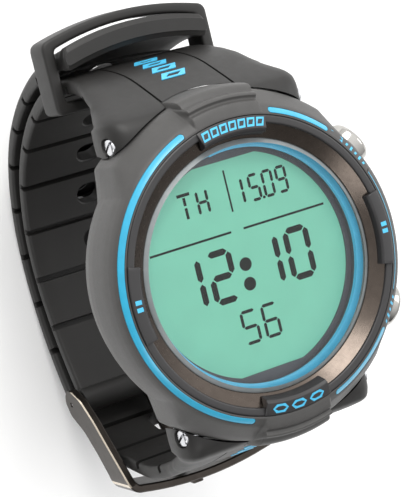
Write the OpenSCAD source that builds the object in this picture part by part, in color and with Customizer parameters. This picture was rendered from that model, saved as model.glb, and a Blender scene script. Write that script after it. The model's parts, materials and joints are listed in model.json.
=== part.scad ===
// Wrist dive computer, closed on its rubber strap.
// +Z points out of the display, +Y to 12 o'clock and +X to 3 o'clock.
// The origin is the centre of the case back's flat face.

/* [Case] */
// Radius of the round case wall
case_r = 25; // [24.8:0.1:25.2]
// Height of the blue accent line above the case back
accent_z = 13.5; // [13.5:0.1:13.8]
// Radius of the lug shoulders that face the strap ends
shoulder_r = 27; // [26.8:0.1:27.05]
// Half width of the centre lug at 12 and 6 o'clock
lug_half = 6.4; // [6:0.1:6.5]
// Radius of the inner cavity
cavity_r = 18.6; // [18.6:0.05:18.8]
// Radius of the case back plate
back_r = 23; // [22.8:0.1:23]
// Thickness of the case back plate
back_t = 1.4; // [1.2:0.1:1.4]

/* [Display] */
// Radius of the lens
lens_r = 20.4; // [20.2:0.1:20.4]
// Radius of the round part of the display window
window_r = 17.4; // [17:0.1:17.4]
// Half height of the display window between its flats
window_half = 16.5; // [16:0.1:16.8]

/* [Buttons] */
// Angle of the buttons above and below 3 o'clock
button_angle = 30; // [29:0.5:31]
// Radius of a button cap
cap_r = 3.6; // [3.3:0.1:3.6]

/* [Strap] */
// Half width of the strap where it is parallel
strap_half = 12.5; // [12:0.1:12.6]
// Half width of the wings beside the case
wing_half = 18; // [17.6:0.1:18.2]
// Thickness of the strap
strap_t = 2.6; // [2.4:0.1:2.6]
// Distance between the flex grooves
groove_pitch = 8.9; // [8.8:0.05:8.95]
// Depth of the flex grooves
groove_depth = 1.3; // [0.8:0.1:1.4]
// Distance of each strap pin from the centre of the case
pin_y = 22.8; // [22.6:0.1:22.9]

/* [Buckle] */
// Inner half width of the buckle frame
frame_half = 13.1; // [12.9:0.1:13.3]
// Thickness of the buckle's side plates
plate_t = 1.4; // [1.2:0.1:1.6]
// Width of the buckle tongue
tongue_w = 2; // [1.6:0.1:2.2]

/* [Battery] */
// Radius of the coin cell
cell_r = 12.25; // [12:0.05:12.25]
// Thickness of the coin cell
cell_t = 3; // [2.8:0.1:3]

/* [Hidden] */

rubber = [0.16, 0.16, 0.17];
case_grey = [0.34, 0.34, 0.35];
black = [0.1, 0.1, 0.11];
accent = [0.22, 0.65, 0.85];
gunmetal = [0.27, 0.24, 0.21];
steel = [0.78, 0.78, 0.8];

round_fn = 96;
small_fn = 48;
gap = 0.05;
far = 60;

// Heights of the stack, from the case back up
lens_top = accent_z - 1.6;
lens_t = 1;
lens_rise = 0.55;
gasket_t = 0.4;
ledge_z = lens_top - lens_t - gasket_t;
mask_top = accent_z - 4.7;
mask_t = 0.25;
panel_t = 1.1;
board_z = 5.4;
board_t = 0.8;
cell_z = 1.9;
bezel_z = accent_z - 1.5;
bezel_in = 19.3;
bezel_out = 22.7;
screw_ring_r = 21.3;

// Rubber band paths seen from 3 o'clock: [y, z] along the middle of the band
upper_path = [[25.7, 6], [28.5, 0.5], [30.9, -5.5], [32.3, -13.5], [31.8, -22], [28.3, -31.2],
    [23.3, -38.4], [16.8, -43.9], [8, -47.4], [-1, -47.9], [-10, -46.2], [-17, -43.8], [-22.3, -41.4]];
lower_path = [[-24.7, 6.2], [-28.7, -3.5], [-31.4, -11.8], [-32.9, -19.5], [-32.4, -27.2], [-31.3, -35],
    [-28.4, -41.8], [-23.6, -46.4], [-17.4, -49.2], [-9.5, -51.4], [-0.8, -52.4], [8, -51.8],
    [16.2, -49.2], [23.2, -44.6], [28.8, -38], [33, -30], [35.4, -21.5], [36.3, -14], [36.4, -10.6]];
path_steps = 4;
hinge = [-22.3, -41.4];
pin_z = 6;
pin_r = 0.95;

function weigh(a, b, c, d, t) = 0.5 * (2 * b + (c - a) * t + (2 * a - 5 * b + 4 * c - d) * t * t
    + (3 * b - a - 3 * c + d) * t * t * t);
function smooth(p) = let (n = len(p) - 1) [for (i = [0 : n - 1]) for (k = [0 : path_steps - 1])
    weigh(p[max(i - 1, 0)], p[i], p[i + 1], p[min(i + 2, n)], k / path_steps), p[n]];
function unit(v) = v / norm(v);
function heading(c, i) = unit(c[min(i + 1, len(c) - 1)] - c[max(i - 1, 0)]);
function beside(c, d) = [for (i = [0 : len(c) - 1]) c[i] + d * [-heading(c, i)[1], heading(c, i)[0]]];
function lengths(c) = [for (i = 0, s = 0; i < len(c);
    s = i + 1 < len(c) ? s + norm(c[i + 1] - c[i]) : s, i = i + 1) s];
function pairs(c, s, k) = [for (i = [0 : len(c) - 1]) [s[i], c[i][k]]];
function turned(list) = [for (i = [len(list) - 1 : -1 : 0]) list[i]];
function part_of(c, a, b) = [for (i = [a : b]) c[i]];

upper_curve = smooth(upper_path);
lower_curve = smooth(lower_path);
upper_run = lengths(upper_curve);
lower_run = lengths(lower_curve);
upper_y = pairs(upper_curve, upper_run, 0);
upper_z = pairs(upper_curve, upper_run, 1);
lower_y = pairs(lower_curve, lower_run, 0);
lower_z = pairs(lower_curve, lower_run, 1);
upper_len = upper_run[len(upper_run) - 1];
lower_len = lower_run[len(lower_run) - 1];

module revolve(points) {
    rotate_extrude($fn = round_fn) polygon(points);
}

module sector(from, to, points) {
    rotate([0, 0, from]) rotate_extrude(angle = to - from, $fn = round_fn) polygon(points);
}

module disc(r, z, h) {
    translate([0, 0, z]) cylinder(r = r, h = h, $fn = round_fn);
}

module ring(r_out, r_in, z, h) {
    difference() {
        disc(r_out, z, h);
        disc(r_in, z - 1, h + 2);
    }
}

module across(y, z, r, half) {
    translate([0, y, z]) rotate([0, 90, 0]) cylinder(r = r, h = 2 * half, center = true, $fn = small_fn);
}

module from_side(points, half) {
    rotate([90, 0, 90]) translate([0, 0, -half]) linear_extrude(2 * half) polygon(points);
}

module band(curve, inner, outer, half) {
    from_side(concat(beside(curve, outer), turned(beside(curve, inner))), half);
}

// Puts children on the band: local +Y along it, local +Z to its left-hand side
module along(ys, zs, s) {
    step = 0.3;
    a = atan2(lookup(s + step, zs) - lookup(s - step, zs), lookup(s + step, ys) - lookup(s - step, ys));
    translate([0, lookup(s, ys), lookup(s, zs)]) rotate([a, 0, 0]) children();
}

// ---- Case ----
shoulder_plan = [[21, 11], [17.9, 20.4], [12, 38], [-12, 38], [-17.9, 20.4], [-21, 11],
    [-21, -11], [-17.9, -20.4], [-12, -38], [12, -38], [17.9, -20.4], [21, -11]];
shoulder_top = [[24.35, accent_z - 0.6], [23, accent_z + 0.4], [0, accent_z + 0.4]];
accent_spans = [[109.5, 251.2], [46.3, 72.7], [-25.5, 23.2], [-72.6, -40]];
recess_floor = 23;
bush_r = 2.17;
bush_from = 20.02;
button_z = board_z + board_t + 0.5;

module case_blank() {
    revolve(concat([[0, 0], [case_r - 1.4, 0], [case_r - 0.6, 1.4], [case_r - 0.1, 3.5], [case_r, 5.5],
        [case_r, 10.3], [case_r - 0.25, 11.9]], shoulder_top));
    intersection() {
        revolve(concat([[0, 0], [shoulder_r - 0.9, 0], [shoulder_r - 0.1, 0.9], [shoulder_r, 2],
            [shoulder_r, 8.2], [shoulder_r - 0.4, 9.5]], shoulder_top));
        translate([0, 0, -1]) linear_extrude(accent_z + 3) polygon(shoulder_plan);
    }
    intersection() {
        revolve([[0, 2], [27.9, 2], [27.9, 5.6], [27.4, 9.1], [26.7, 9.9], [26.3, 11.8], [24.9, 13.5],
            [23, accent_z + 0.4], [0, accent_z + 0.4]]);
        cube([2 * lug_half, far, far], center = true);
    }
}

module radial(angle) {
    rotate([0, 0, angle]) translate([0, 0, button_z]) rotate([0, 90, 0]) children();
}

module case_body() {
    color(case_grey) difference() {
        case_blank();
        disc(bezel_out + gap, bezel_z, far);
        disc(lens_r + 0.1, ledge_z, far);
        disc(cavity_r, -1, far);
        disc(back_r + 0.1, -1, back_t + 1);
        back_seal_groove();
        for (a = [45 : 90 : 315])
            rotate([0, 0, a]) translate([screw_ring_r, 0, 0]) cylinder(r = 0.8, h = 4.6, $fn = small_fn);
        for (a = [-button_angle, button_angle]) radial(a) {
            translate([0, 0, recess_floor]) cylinder(r = cap_r + 0.3, h = 10, $fn = small_fn);
            translate([0, 0, 15]) cylinder(r = bush_r + 0.03, h = 10, $fn = small_fn);
        }
        for (side = [-1, 1]) across(side * pin_y, pin_z, pin_r + gap, far / 2);
        for (span = accent_spans) sector(span[0] - 0.2, span[1] + 0.2, accent_groove(0.05));
        for (span = icon_spans) sector(span[0], span[1], accent_groove(0.05));
    }
}

// Section of the accent channel: it follows the slope at the top of the case
function accent_groove(room) = [[23.1 - room, accent_z - 0.05 - room], [23.95 + room, accent_z - 0.68 - room],
    [23.95 + room, accent_z + 0.6], [23.1 - room, accent_z + 0.9]];
function accent_section() = [[23.1, accent_z - 0.05], [23.95, accent_z - 0.68],
    [23.95, accent_z - 0.27], [23.1, accent_z + 0.36]];
icon_spans = [[38.5, 45.1], [25.3, 37.5], [-38.5, -26.3]];

module accent_arcs() {
    color(accent) for (span = accent_spans) sector(span[0], span[1], accent_section());
}

// Pointer and function symbols beside the two buttons
module button_icons() {
    color(accent) {
        sector(39, 44.6, accent_section());
        for (a = [26 : 2.4 : 36]) sector(a, a + 1.2, accent_section());
        for (a = [-37.8 : 2.4 : -28]) sector(a, a + 1.2, accent_section());
    }
}

// ---- Bezel ----
crest = accent_z + 0.45;

module bezel_ring() {
    color(black) revolve([[bezel_in, bezel_z], [bezel_out, bezel_z], [bezel_out, crest - 0.1],
        [bezel_out - 0.25, crest], [21.65, crest], [21.5, crest - 0.35], [bezel_in, bezel_z + 0.15]]);
}

pad_section = [[20.7, crest - 0.8], [21.48, crest - 0.3], [21.62, crest + 0.03], [22.5, crest + 0.03],
    [22.65, crest + 0.2], [22.5, crest + 0.32], [21.1, crest + 0.4], [20.8, crest + 0.1]];
plate_section = [[19.9, crest - 1.35], [21.48, crest - 0.3], [21.62, crest + 0.03], [22.5, crest + 0.03],
    [22.65, crest + 0.15], [20.9, crest + 0.8], [20.2, crest + 0.2]];
pad_span = 15.2;

module bezel_pads() {
    color(black) for (a = [0, 180]) sector(a - pad_span, a + pad_span, pad_section);
}

module bezel_plate_12() {
    color(black) sector(90 - pad_span, 90 + pad_span, plate_section);
}

module bezel_plate_6() {
    color(black) sector(270 - pad_span, 270 + pad_span, plate_section);
}

// Raised blue bars: two on each pad, a row on each plate
module bezel_inlays() {
    color(accent) {
        for (a = [0, 180]) for (k = [-1, 1]) rotate([0, 0, a + 2.6 * k])
            sector(-0.9, 0.9, [[21.2, crest + 0.42], [22.4, crest + 0.36], [22.4, crest + 0.44],
                [21.2, crest + 0.5]]);
        for (a = [78 : 4 : 102]) sector(a - 1.3, a + 1.3, plate_inlay);
        for (a = [261 : 6 : 279]) sector(a - 1.6, a + 1.6, plate_inlay);
    }
}
plate_inlay = [[21.2, crest + 0.73], [22.4, crest + 0.28], [22.4, crest + 0.36], [21.2, crest + 0.81]];

// ---- Lens and display ----
// The bezel clamps the rim, and the raised middle stands a little proud of the bezel's inner edge
module lens() {
    color([0.8, 0.9, 0.92, 0.35]) revolve([[0, lens_top - lens_t], [lens_r, lens_top - lens_t],
        [lens_r, lens_top - 0.2], [lens_r - 0.2, lens_top], [bezel_in - 0.08, lens_top],
        [bezel_in - 0.63, lens_top + lens_rise], [0, lens_top + lens_rise]]);
}

module lens_gasket() {
    color([0.75, 0.76, 0.75]) ring(lens_r, cavity_r + 0.1, ledge_z + 0.01, gasket_t - 0.02);
}

// Blue wall under the lens, with a thin groove below its top edge
module flange_ring() {
    low = mask_top + 0.02;
    high = lens_top - lens_t - 0.03;
    groove = high - 0.45;
    outside = cavity_r - 0.1;
    color(accent) revolve([[outside - 0.25, low], [outside, low], [outside, high], [outside - 0.5, high],
        [outside - 0.5, groove + 0.15], [outside - 0.2, groove], [outside - 0.3, groove - 0.15]]);
}

module window(r, half, z, h) {
    intersection() {
        disc(r, z, h);
        cube([far, 2 * half, far], center = true);
    }
}

module display_mask() {
    color([0.4, 0.39, 0.42]) difference() {
        disc(cavity_r - 0.15, mask_top - mask_t, mask_t);
        window(window_r, window_half, mask_top - mask_t - 1, mask_t + 2);
    }
}

module display_panel() {
    color([0.46, 0.75, 0.65]) window(17.9, 17.2, mask_top - mask_t - gap - panel_t, panel_t);
}

module light_guide() {
    color([0.85, 0.95, 0.9]) window(15.6, 13.6, board_z + board_t + 0.15, 0.85);
}

// Rubber strips that carry the display's signals
module contact_strips() {
    strip_z = board_z + board_t + 0.02;
    strip_h = mask_top - mask_t - gap - panel_t - strip_z - 0.02;
    color([0.75, 0.45, 0.55]) for (side = [-1, 1])
        translate([-8.6, side * 14.9 - 0.6, strip_z]) cube([17.2, 1.2, strip_h]);
}

// ---- Module ----
module module_frame() {
    frame_r = cavity_r - 0.1;
    color([0.85, 0.85, 0.82]) difference() {
        disc(frame_r, back_t + 0.1, mask_top - mask_t - 0.05 - back_t - 0.1);
        disc(frame_r - 0.5, -1, far);
        for (a = [-button_angle, button_angle]) radial(a) cylinder(r = 2.6, h = far, $fn = small_fn);
    }
}

module circuit_board() {
    color([0.1, 0.35, 0.2]) difference() {
        disc(cavity_r - 0.75, board_z, board_t);
        for (a = [90, 270]) rotate([0, 0, a]) translate([17.4, 0, 0]) cylinder(r = 1, h = far, $fn = 32);
    }
}

module processor() {
    color(black) translate([3.6, 8.7, board_z - 1.1]) cube([5.6, 5.6, 1.08]);
}

module clock_crystal() {
    color(steel) translate([11.6, 5.5, board_z - 1.3]) cube([1.6, 4.6, 1.28]);
}

switch_face = 17.1;
plunger_out = 0.6;

// Small side switches, each with a plunger facing its button's stem
module side_switches() {
    color(steel) for (a = [-button_angle, button_angle]) rotate([0, 0, a]) {
        translate([15.9, -1.6, board_z + board_t + 0.01]) cube([1.2, 3.2, 1]);
        translate([switch_face - 0.02, 0, button_z]) rotate([0, 90, 0])
            cylinder(r = 0.35, h = plunger_out + 0.02, $fn = small_fn);
    }
}

sensor_y = 13.9;
sensor_r = 3;
sensor_seat = 0.7;

module pressure_sensor() {
    color(steel) translate([0, sensor_y, 0]) difference() {
        union() {
            disc(sensor_r, sensor_seat + 0.66, board_z - sensor_seat - 0.71);
            disc(sensor_r - 0.8, sensor_seat + 0.05, 1);
        }
        disc(1.2, 0, 3.2);
    }
}

module sensor_seal() {
    color(black) translate([0, sensor_y, sensor_seat + 0.32]) rotate_extrude($fn = small_fn)
        translate([sensor_r - 0.42, 0]) circle(r = 0.3, $fn = 24);
}

module buzzer() {
    color([0.85, 0.68, 0.3]) translate([-9.6, 9, 0]) disc(3.7, back_t + 0.65, 1.6);
}

// ---- Battery and back ----
cell_y = -4;
cap_hole_r = 13;
tab_r = 13.7;

module at_cell() {
    translate([0, cell_y, 0]) children();
}

module battery() {
    cell_top = cell_z + cell_t;
    color(steel) at_cell() revolve([[0, cell_z], [cell_r - 1.6, cell_z], [cell_r - 1.6, cell_z + 0.3],
        [cell_r - 0.3, cell_z + 0.3], [cell_r, cell_z + 0.6], [cell_r, cell_top], [0, cell_top]]);
}

// Sprung strip that touches the top of the cell
module battery_spring() {
    color([0.85, 0.68, 0.3]) at_cell() {
        translate([-7, -1.2, cell_z + cell_t + 0.03]) cube([14, 2.4, 0.2]);
        for (side = [-1, 1]) translate([side * 6.3 - 0.7, -1.2, cell_z + cell_t + 0.23])
            cube([1.4, 2.4, board_z - cell_z - cell_t - 0.25]);
    }
}

seal_ring_r = 19.5;
seal_wire_r = 0.45;

module back_seal_groove() {
    room = seal_wire_r + gap;
    ring(seal_ring_r + room, seal_ring_r - room, back_t - room, 2 * room);
}

module case_back() {
    color([0.3, 0.3, 0.31]) difference() {
        disc(back_r, 0, back_t);
        at_cell() disc(cap_hole_r, -1, far);
        at_cell() for (a = [0, 120, 240]) sector(a - 13, a + 13,
            [[cap_hole_r - 1, -1], [tab_r + 0.25, -1], [tab_r + 0.25, 3], [cap_hole_r - 1, 3]]);
        at_cell() for (a = [0, 120, 240]) sector(a + 10, a + 75,
            [[cap_hole_r - 1, 0.85], [tab_r + 0.15, 0.85], [tab_r + 0.15, 3], [cap_hole_r - 1, 3]]);
        back_seal_groove();
        for (a = [45 : 90 : 315]) rotate([0, 0, a]) translate([screw_ring_r, 0, 0]) {
            cylinder(r = 0.95, h = 9, center = true, $fn = small_fn);
            translate([0, 0, -1]) cylinder(r = 1.45, h = 1.7, $fn = small_fn);
        }
        translate([0, sensor_y, 0]) {
            disc(sensor_r + gap, sensor_seat, far);
            for (a = [0 : 60 : 300]) rotate([0, 0, a]) translate([1.3, 0, -1])
                cylinder(r = 0.45, h = 3, $fn = 24);
        }
    }
}

module back_gasket() {
    color(black) translate([0, 0, back_t]) rotate_extrude($fn = round_fn)
        translate([seal_ring_r, 0]) circle(r = seal_wire_r, $fn = 24);
}

module back_screws() {
    color(steel) for (a = [45 : 90 : 315]) rotate([0, 0, a]) translate([screw_ring_r, 0, 0]) difference() {
        union() {
            translate([0, 0, 0.05]) cylinder(r = 1.35, h = 0.62, $fn = small_fn);
            translate([0, 0, 0.1]) cylinder(r = 0.75, h = 4, $fn = small_fn);
        }
        for (b = [0, 90]) rotate([0, 0, b]) cube([1.5, 0.35, 0.7], center = true);
    }
}

// Round cap with three bayonet tabs and a coin slot
module battery_cap() {
    color([0.3, 0.3, 0.31]) at_cell() difference() {
        union() {
            disc(cap_hole_r - 0.1, 0, back_t + 0.3);
            for (a = [0, 120, 240]) sector(a + 46, a + 70,
                [[cap_hole_r - 2, 0.95], [tab_r, 0.95], [tab_r, 1.35], [cap_hole_r - 2, 1.35]]);
        }
        translate([-8, -0.9, -1]) cube([16, 1.8, 1.7]);
        ring(cap_hole_r + 1, cap_hole_r - 0.6, 0.12, 0.66);
    }
}

module battery_cap_seal() {
    color(black) at_cell() rotate_extrude($fn = round_fn) translate([cap_hole_r - 0.29, 0.45])
        circle(r = 0.25, $fn = 24);
}

// ---- Buttons ----
stem_r = 1;
cap_base = 25.4;
stem_end = 18.9;
seal_at = 21.5;

module button() {
    color(steel) rotate_extrude($fn = small_fn) polygon([[0, stem_end], [stem_r, stem_end], [stem_r, 19.15],
        [0.7, 19.15], [0.7, 19.65], [stem_r, 19.65], [stem_r, cap_base], [cap_r, cap_base],
        [cap_r, cap_base + 2.1], [cap_r - 0.5, cap_base + 2.6], [cap_r - 1.6, cap_base + 3],
        [cap_r - 2.8, cap_base + 3.2], [0, cap_base + 3.25]]);
}

module upper_button() {
    radial(button_angle) button();
}

module lower_button() {
    radial(-button_angle) button();
}

// Open retaining ring in the groove of the stem
module clip() {
    color(steel) difference() {
        translate([0, 0, 19.2]) cylinder(r = 1.9, h = 0.4, $fn = small_fn);
        translate([0, 0, 19]) cylinder(r = 0.72, h = 1, $fn = small_fn);
        translate([0, -0.5, 19]) cube([3, 1, 1]);
    }
}

module upper_button_clip() {
    radial(button_angle) clip();
}

module lower_button_clip() {
    radial(-button_angle) clip();
}

module button_bushes() {
    color(steel) for (a = [-button_angle, button_angle]) radial(a) difference() {
        translate([0, 0, bush_from]) cylinder(r = bush_r, h = recess_floor - bush_from, $fn = small_fn);
        cylinder(r = stem_r + gap, h = far, $fn = small_fn);
        translate([0, 0, seal_at]) rotate_extrude($fn = small_fn)
            translate([stem_r + 0.38, 0]) circle(r = 0.42, $fn = 24);
    }
}

module button_seals() {
    color(black) for (a = [-button_angle, button_angle]) radial(a) translate([0, 0, seal_at])
        rotate_extrude($fn = small_fn) translate([stem_r + 0.4, 0]) circle(r = 0.36, $fn = 24);
}

// Helical wire, swept as rings of points
spring_turns = 3;
spring_r = 1.9;
wire_r = 0.2;
spring_rings = 48;
wire_sides = 8;
spring_from = recess_floor + 0.35;
spring_to = cap_base - 0.3;

function wire_point(i, j) = let (f = i / spring_rings, a = 360 * spring_turns * f, b = 360 * j / wire_sides,
    r = spring_r + wire_r * cos(b), z = spring_from + (spring_to - spring_from) * f + wire_r * sin(b))
    [r * cos(a), r * sin(a), z];

module spring() {
    n = wire_sides;
    sides = [for (i = [0 : spring_rings - 1]) for (j = [0 : n - 1])
        [i * n + j, i * n + (j + 1) % n, (i + 1) * n + (j + 1) % n, (i + 1) * n + j]];
    ends = [[for (j = [n - 1 : -1 : 0]) j], [for (j = [0 : n - 1]) spring_rings * n + j]];
    polyhedron([for (i = [0 : spring_rings]) for (j = [0 : n - 1]) wire_point(i, j)], concat(sides, ends));
}

module button_springs() {
    color(steel) for (a = [-button_angle, button_angle]) radial(a) spring();
}

// ---- Strap pins ----
pin_half = 16.4;
head_r = 1.4;
head_t = 0.95;

module strap_pin(side) {
    color(steel) difference() {
        across(side * pin_y, pin_z, pin_r, pin_half);
        across(side * pin_y, pin_z, 0.55, far / 2);
    }
}

module strap_pin_12() {
    strap_pin(1);
}

module strap_pin_6() {
    strap_pin(-1);
}

module strap_pin_screws() {
    color(steel) for (side = [-1, 1]) for (end = [-1, 1]) translate([0, side * pin_y, pin_z])
        rotate([0, 90 * end, 0]) difference() {
            union() {
                translate([0, 0, pin_half + gap]) cylinder(r = head_r, h = head_t, $fn = small_fn);
                translate([0, 0, pin_half - 4]) cylinder(r = 0.5, h = 4.5, $fn = small_fn);
            }
            translate([0, 0, pin_half + gap + head_t]) cube([4, 0.45, 1], center = true);
        }
}

// ---- Straps ----
// Half width of the band against height: wide beside the case, narrow below it
wing_outline = [[wing_half - 0.8, 16], [wing_half, 9], [wing_half, -0.5], [wing_half - 0.8, -2.6],
    [wing_half - 2.4, -4.9], [wing_half - 4, -6.7], [strap_half + 0.5, -8.3], [strap_half, -10]];
ear_profile = [[17, 0.2], [17, 7.6], [20.5, 8.7], [23.5, 9.1], [25.6, 8.3], [26.9, 6.6], [28.1, 4],
    [27.6, -1], [25.4, 0.3], [22.5, 0.6], [20, 0.2]];
case_room = 0.25;
hinge_r = 2.3;
wide_steps = 12;

module widths() {
    outline = concat([[strap_half, -far]], turned(wing_outline));
    both = concat(outline, [for (p = turned(outline)) [-p[0], p[1]]]);
    rotate([90, 0, 0]) linear_extrude(2 * far, center = true) polygon(both);
}

// Everything both strap halves share at the case: wings, ears and the cut for the case and its pin
module strap_end(side) {
    difference() {
        intersection() {
            children();
            widths();
        }
        disc(shoulder_r + case_room, -far / 4, far);
        intersection() {
            disc(28.2, -1, far);
            cube([2 * lug_half + 0.6, far, far], center = true);
        }
        across(side * pin_y, pin_z, pin_r + 0.07, far / 2);
        for (end = [-1, 1]) translate([0, side * pin_y, pin_z]) rotate([0, 90 * end, 0])
            translate([0, 0, pin_half + 0.02]) cylinder(r = head_r + 0.12, h = far, $fn = small_fn);
    }
}

module ears(side) {
    mirror([0, side < 0 ? 1 : 0, 0]) from_side(ear_profile, wing_half);
}

// Two long grooves that set off the centre panel
module panel_grooves(curve, outside) {
    depth = 0.7;
    face = outside * strap_t / 2;
    start = part_of(curve, 0, wide_steps);
    for (x = [-1, 1]) translate([x * (lug_half - 0.1), 0, 0])
        band(start, face - outside * depth, face + outside, 0.35);
}

module slot(w, l) {
    for (k = [-1, 1]) translate([0, k * (l - w) / 2, 0])
        cylinder(r = w / 2, h = 9, center = true, $fn = small_fn);
    cube([w, l - w, 9], center = true);
}

module cross_slot(w, l) {
    rotate([0, 0, 90]) slot(w, l);
}

function stations(first, last) = [for (s = first; s <= last; s = s + groove_pitch) s];
upper_grooves = stations(12.4, upper_len - 12);
upper_slots = stations(12.4 + groove_pitch * 3.5, upper_len - 17);
lower_grooves = stations(22.7, lower_len - 12);
lower_slots = stations(45, lower_len - 16);

module upper_strap() {
    color(rubber) difference() {
        strap_end(1) {
            band(upper_curve, -strap_t / 2, strap_t / 2, wing_half);
            ears(1);
            across(hinge[0], hinge[1], hinge_r, strap_half);
        }
        for (s = upper_grooves) along(upper_y, upper_z, s)
            translate([-far / 2, -0.5, -strap_t]) cube([far, 1, strap_t / 2 + groove_depth]);
        for (s = upper_slots) along(upper_y, upper_z, s) cross_slot(3.6, 4.6);
        panel_grooves(upper_curve, 1);
        across(hinge[0], hinge[1], 1.03, far / 2);
        at_hinge() cube([tongue_w + 1.2, 7, 8], center = true);
    }
}

module lower_strap() {
    color(rubber) difference() {
        strap_end(-1) {
            band(lower_curve, -strap_t / 2, strap_t / 2, wing_half);
            ears(-1);
            along(lower_y, lower_z, lower_len - 1.2) translate([-strap_half, -1.4, -1.6])
                cube([2 * strap_half, 2.8, 3.1]);
        }
        for (s = lower_grooves) along(lower_y, lower_z, s)
            translate([-far / 2, -0.5, strap_t / 2 - groove_depth]) cube([far, 1, strap_t]);
        for (s = lower_slots) along(lower_y, lower_z, s) slot(4.4, 7);
        panel_grooves(lower_curve, -1);
    }
}

// Raised blue bars on the centre panel of each half
module strap_marks(ys, zs, outside, first, count) {
    color(accent) for (k = [0 : count - 1]) along(ys, zs, first + 2 * k)
        translate([0, 0, outside * (strap_t / 2 + 0.12)]) cube([6.4, 1.1, 0.2], center = true);
}

module strap_marks_12() {
    strap_marks(upper_y, upper_z, 1, 5.6, 6);
}

module strap_marks_6() {
    strap_marks(lower_y, lower_z, -1, 5.6, 6);
}

// ---- Buckle ----
plate_bow_r = 59.3;
plate_face = -38.2;
plate_low = -32.2;
plate_high = -24.6;
eye_r = 2.5;

// Side plate seen from 3 o'clock, from the eye at the hinge to the cross plate
arm_profile = [hinge - [0, eye_r], [-24.6, -42.4], [-26.9, -38.5], [-34.4, -32.6], [-36.4, -31.6],
    [-36.4, plate_high], [-35.2, plate_high], [-32.4, -27.1], [-24.6, -33.8], [-20.5, -37.9],
    hinge + [eye_r, 0.4]];
tongue_path = [hinge, [-26.2, -39.3], [-30.3, -37.3], [-34.6, -35.6], [-37.7, -33.9], [-39.2, -31],
    [-39.3, -28]];
tongue_t = 1;
tongue_eye_r = 1.9;

module at_hinge() {
    translate([0, hinge[0], hinge[1]]) children();
}

module buckle_pin() {
    color(steel) across(hinge[0], hinge[1], 0.98, frame_half + plate_t - 0.1);
}

module buckle_frame() {
    color(gunmetal) difference() {
        union() {
            for (side = [-1, 1]) translate([side * (frame_half + plate_t / 2), 0, 0]) {
                from_side(arm_profile, plate_t / 2);
                across(hinge[0], hinge[1], eye_r, plate_t / 2);
            }
            intersection() {
                translate([0, plate_face + plate_bow_r, plate_low]) difference() {
                    cylinder(r = plate_bow_r, h = plate_high - plate_low, $fn = 4 * round_fn);
                    translate([0, 0, -1]) cylinder(r = plate_bow_r - plate_t, h = far, $fn = 4 * round_fn);
                }
                translate([0, plate_face, plate_low])
                    cube([2 * (frame_half + plate_t), 9, far], center = true);
            }
        }
        across(hinge[0], hinge[1], 1.03, far);
    }
}

module buckle_tongue() {
    curve = smooth(tongue_path);
    color(gunmetal) difference() {
        union() {
            across(hinge[0], hinge[1], tongue_eye_r, tongue_w / 2);
            band(curve, -tongue_t / 2, tongue_t / 2, tongue_w / 2);
        }
        across(hinge[0], hinge[1], 1.03, far);
    }
}

// ---- Keeper ----
keeper_z = -19.3;
keeper_w = 5.5;
keeper_half = 15;
keeper_low = 28;
keeper_room = 8.6;
keeper_wall = 1.8;
keeper_side = 39.6;
keeper_high = 42;

module keeper() {
    rise = keeper_high - keeper_side;
    dome_r = (keeper_half * keeper_half + rise * rise) / (2 * rise);
    color(rubber) difference() {
        intersection() {
            translate([-keeper_half, keeper_low, keeper_z]) cube([2 * keeper_half, far, keeper_w]);
            translate([0, keeper_high - dome_r, -far]) cylinder(r = dome_r, h = 2 * far, $fn = round_fn * 2);
        }
        translate([-strap_half - 0.5, keeper_low + keeper_wall, -far])
            cube([2 * strap_half + 1, keeper_room, 2 * far]);
    }
}

case_body();
bezel_ring();
bezel_pads();
bezel_plate_12();
bezel_plate_6();
bezel_inlays();
accent_arcs();
button_icons();
lens();
lens_gasket();
flange_ring();
display_mask();
display_panel();
light_guide();
contact_strips();
module_frame();
circuit_board();
processor();
clock_crystal();
side_switches();
pressure_sensor();
sensor_seal();
buzzer();
battery();
battery_spring();
case_back();
back_gasket();
back_screws();
battery_cap();
battery_cap_seal();
upper_button();
lower_button();
upper_button_clip();
lower_button_clip();
button_bushes();
button_seals();
button_springs();
strap_pin_12();
strap_pin_6();
strap_pin_screws();
upper_strap();
lower_strap();
strap_marks_12();
strap_marks_6();
buckle_pin();
buckle_frame();
buckle_tongue();
keeper();
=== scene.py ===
"""Looks of a wrist dive computer: case, bezel, display, buttons, rubber strap, buckle and keeper.

Lengths in the modelling functions are millimetres in the CAD frame: +Z out of the display,
+Y to 12 o'clock, +X to 3 o'clock. Mesh data is written in metres.
"""

import json
import math

import bmesh
import bpy
from mathutils import Matrix, Vector


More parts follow.
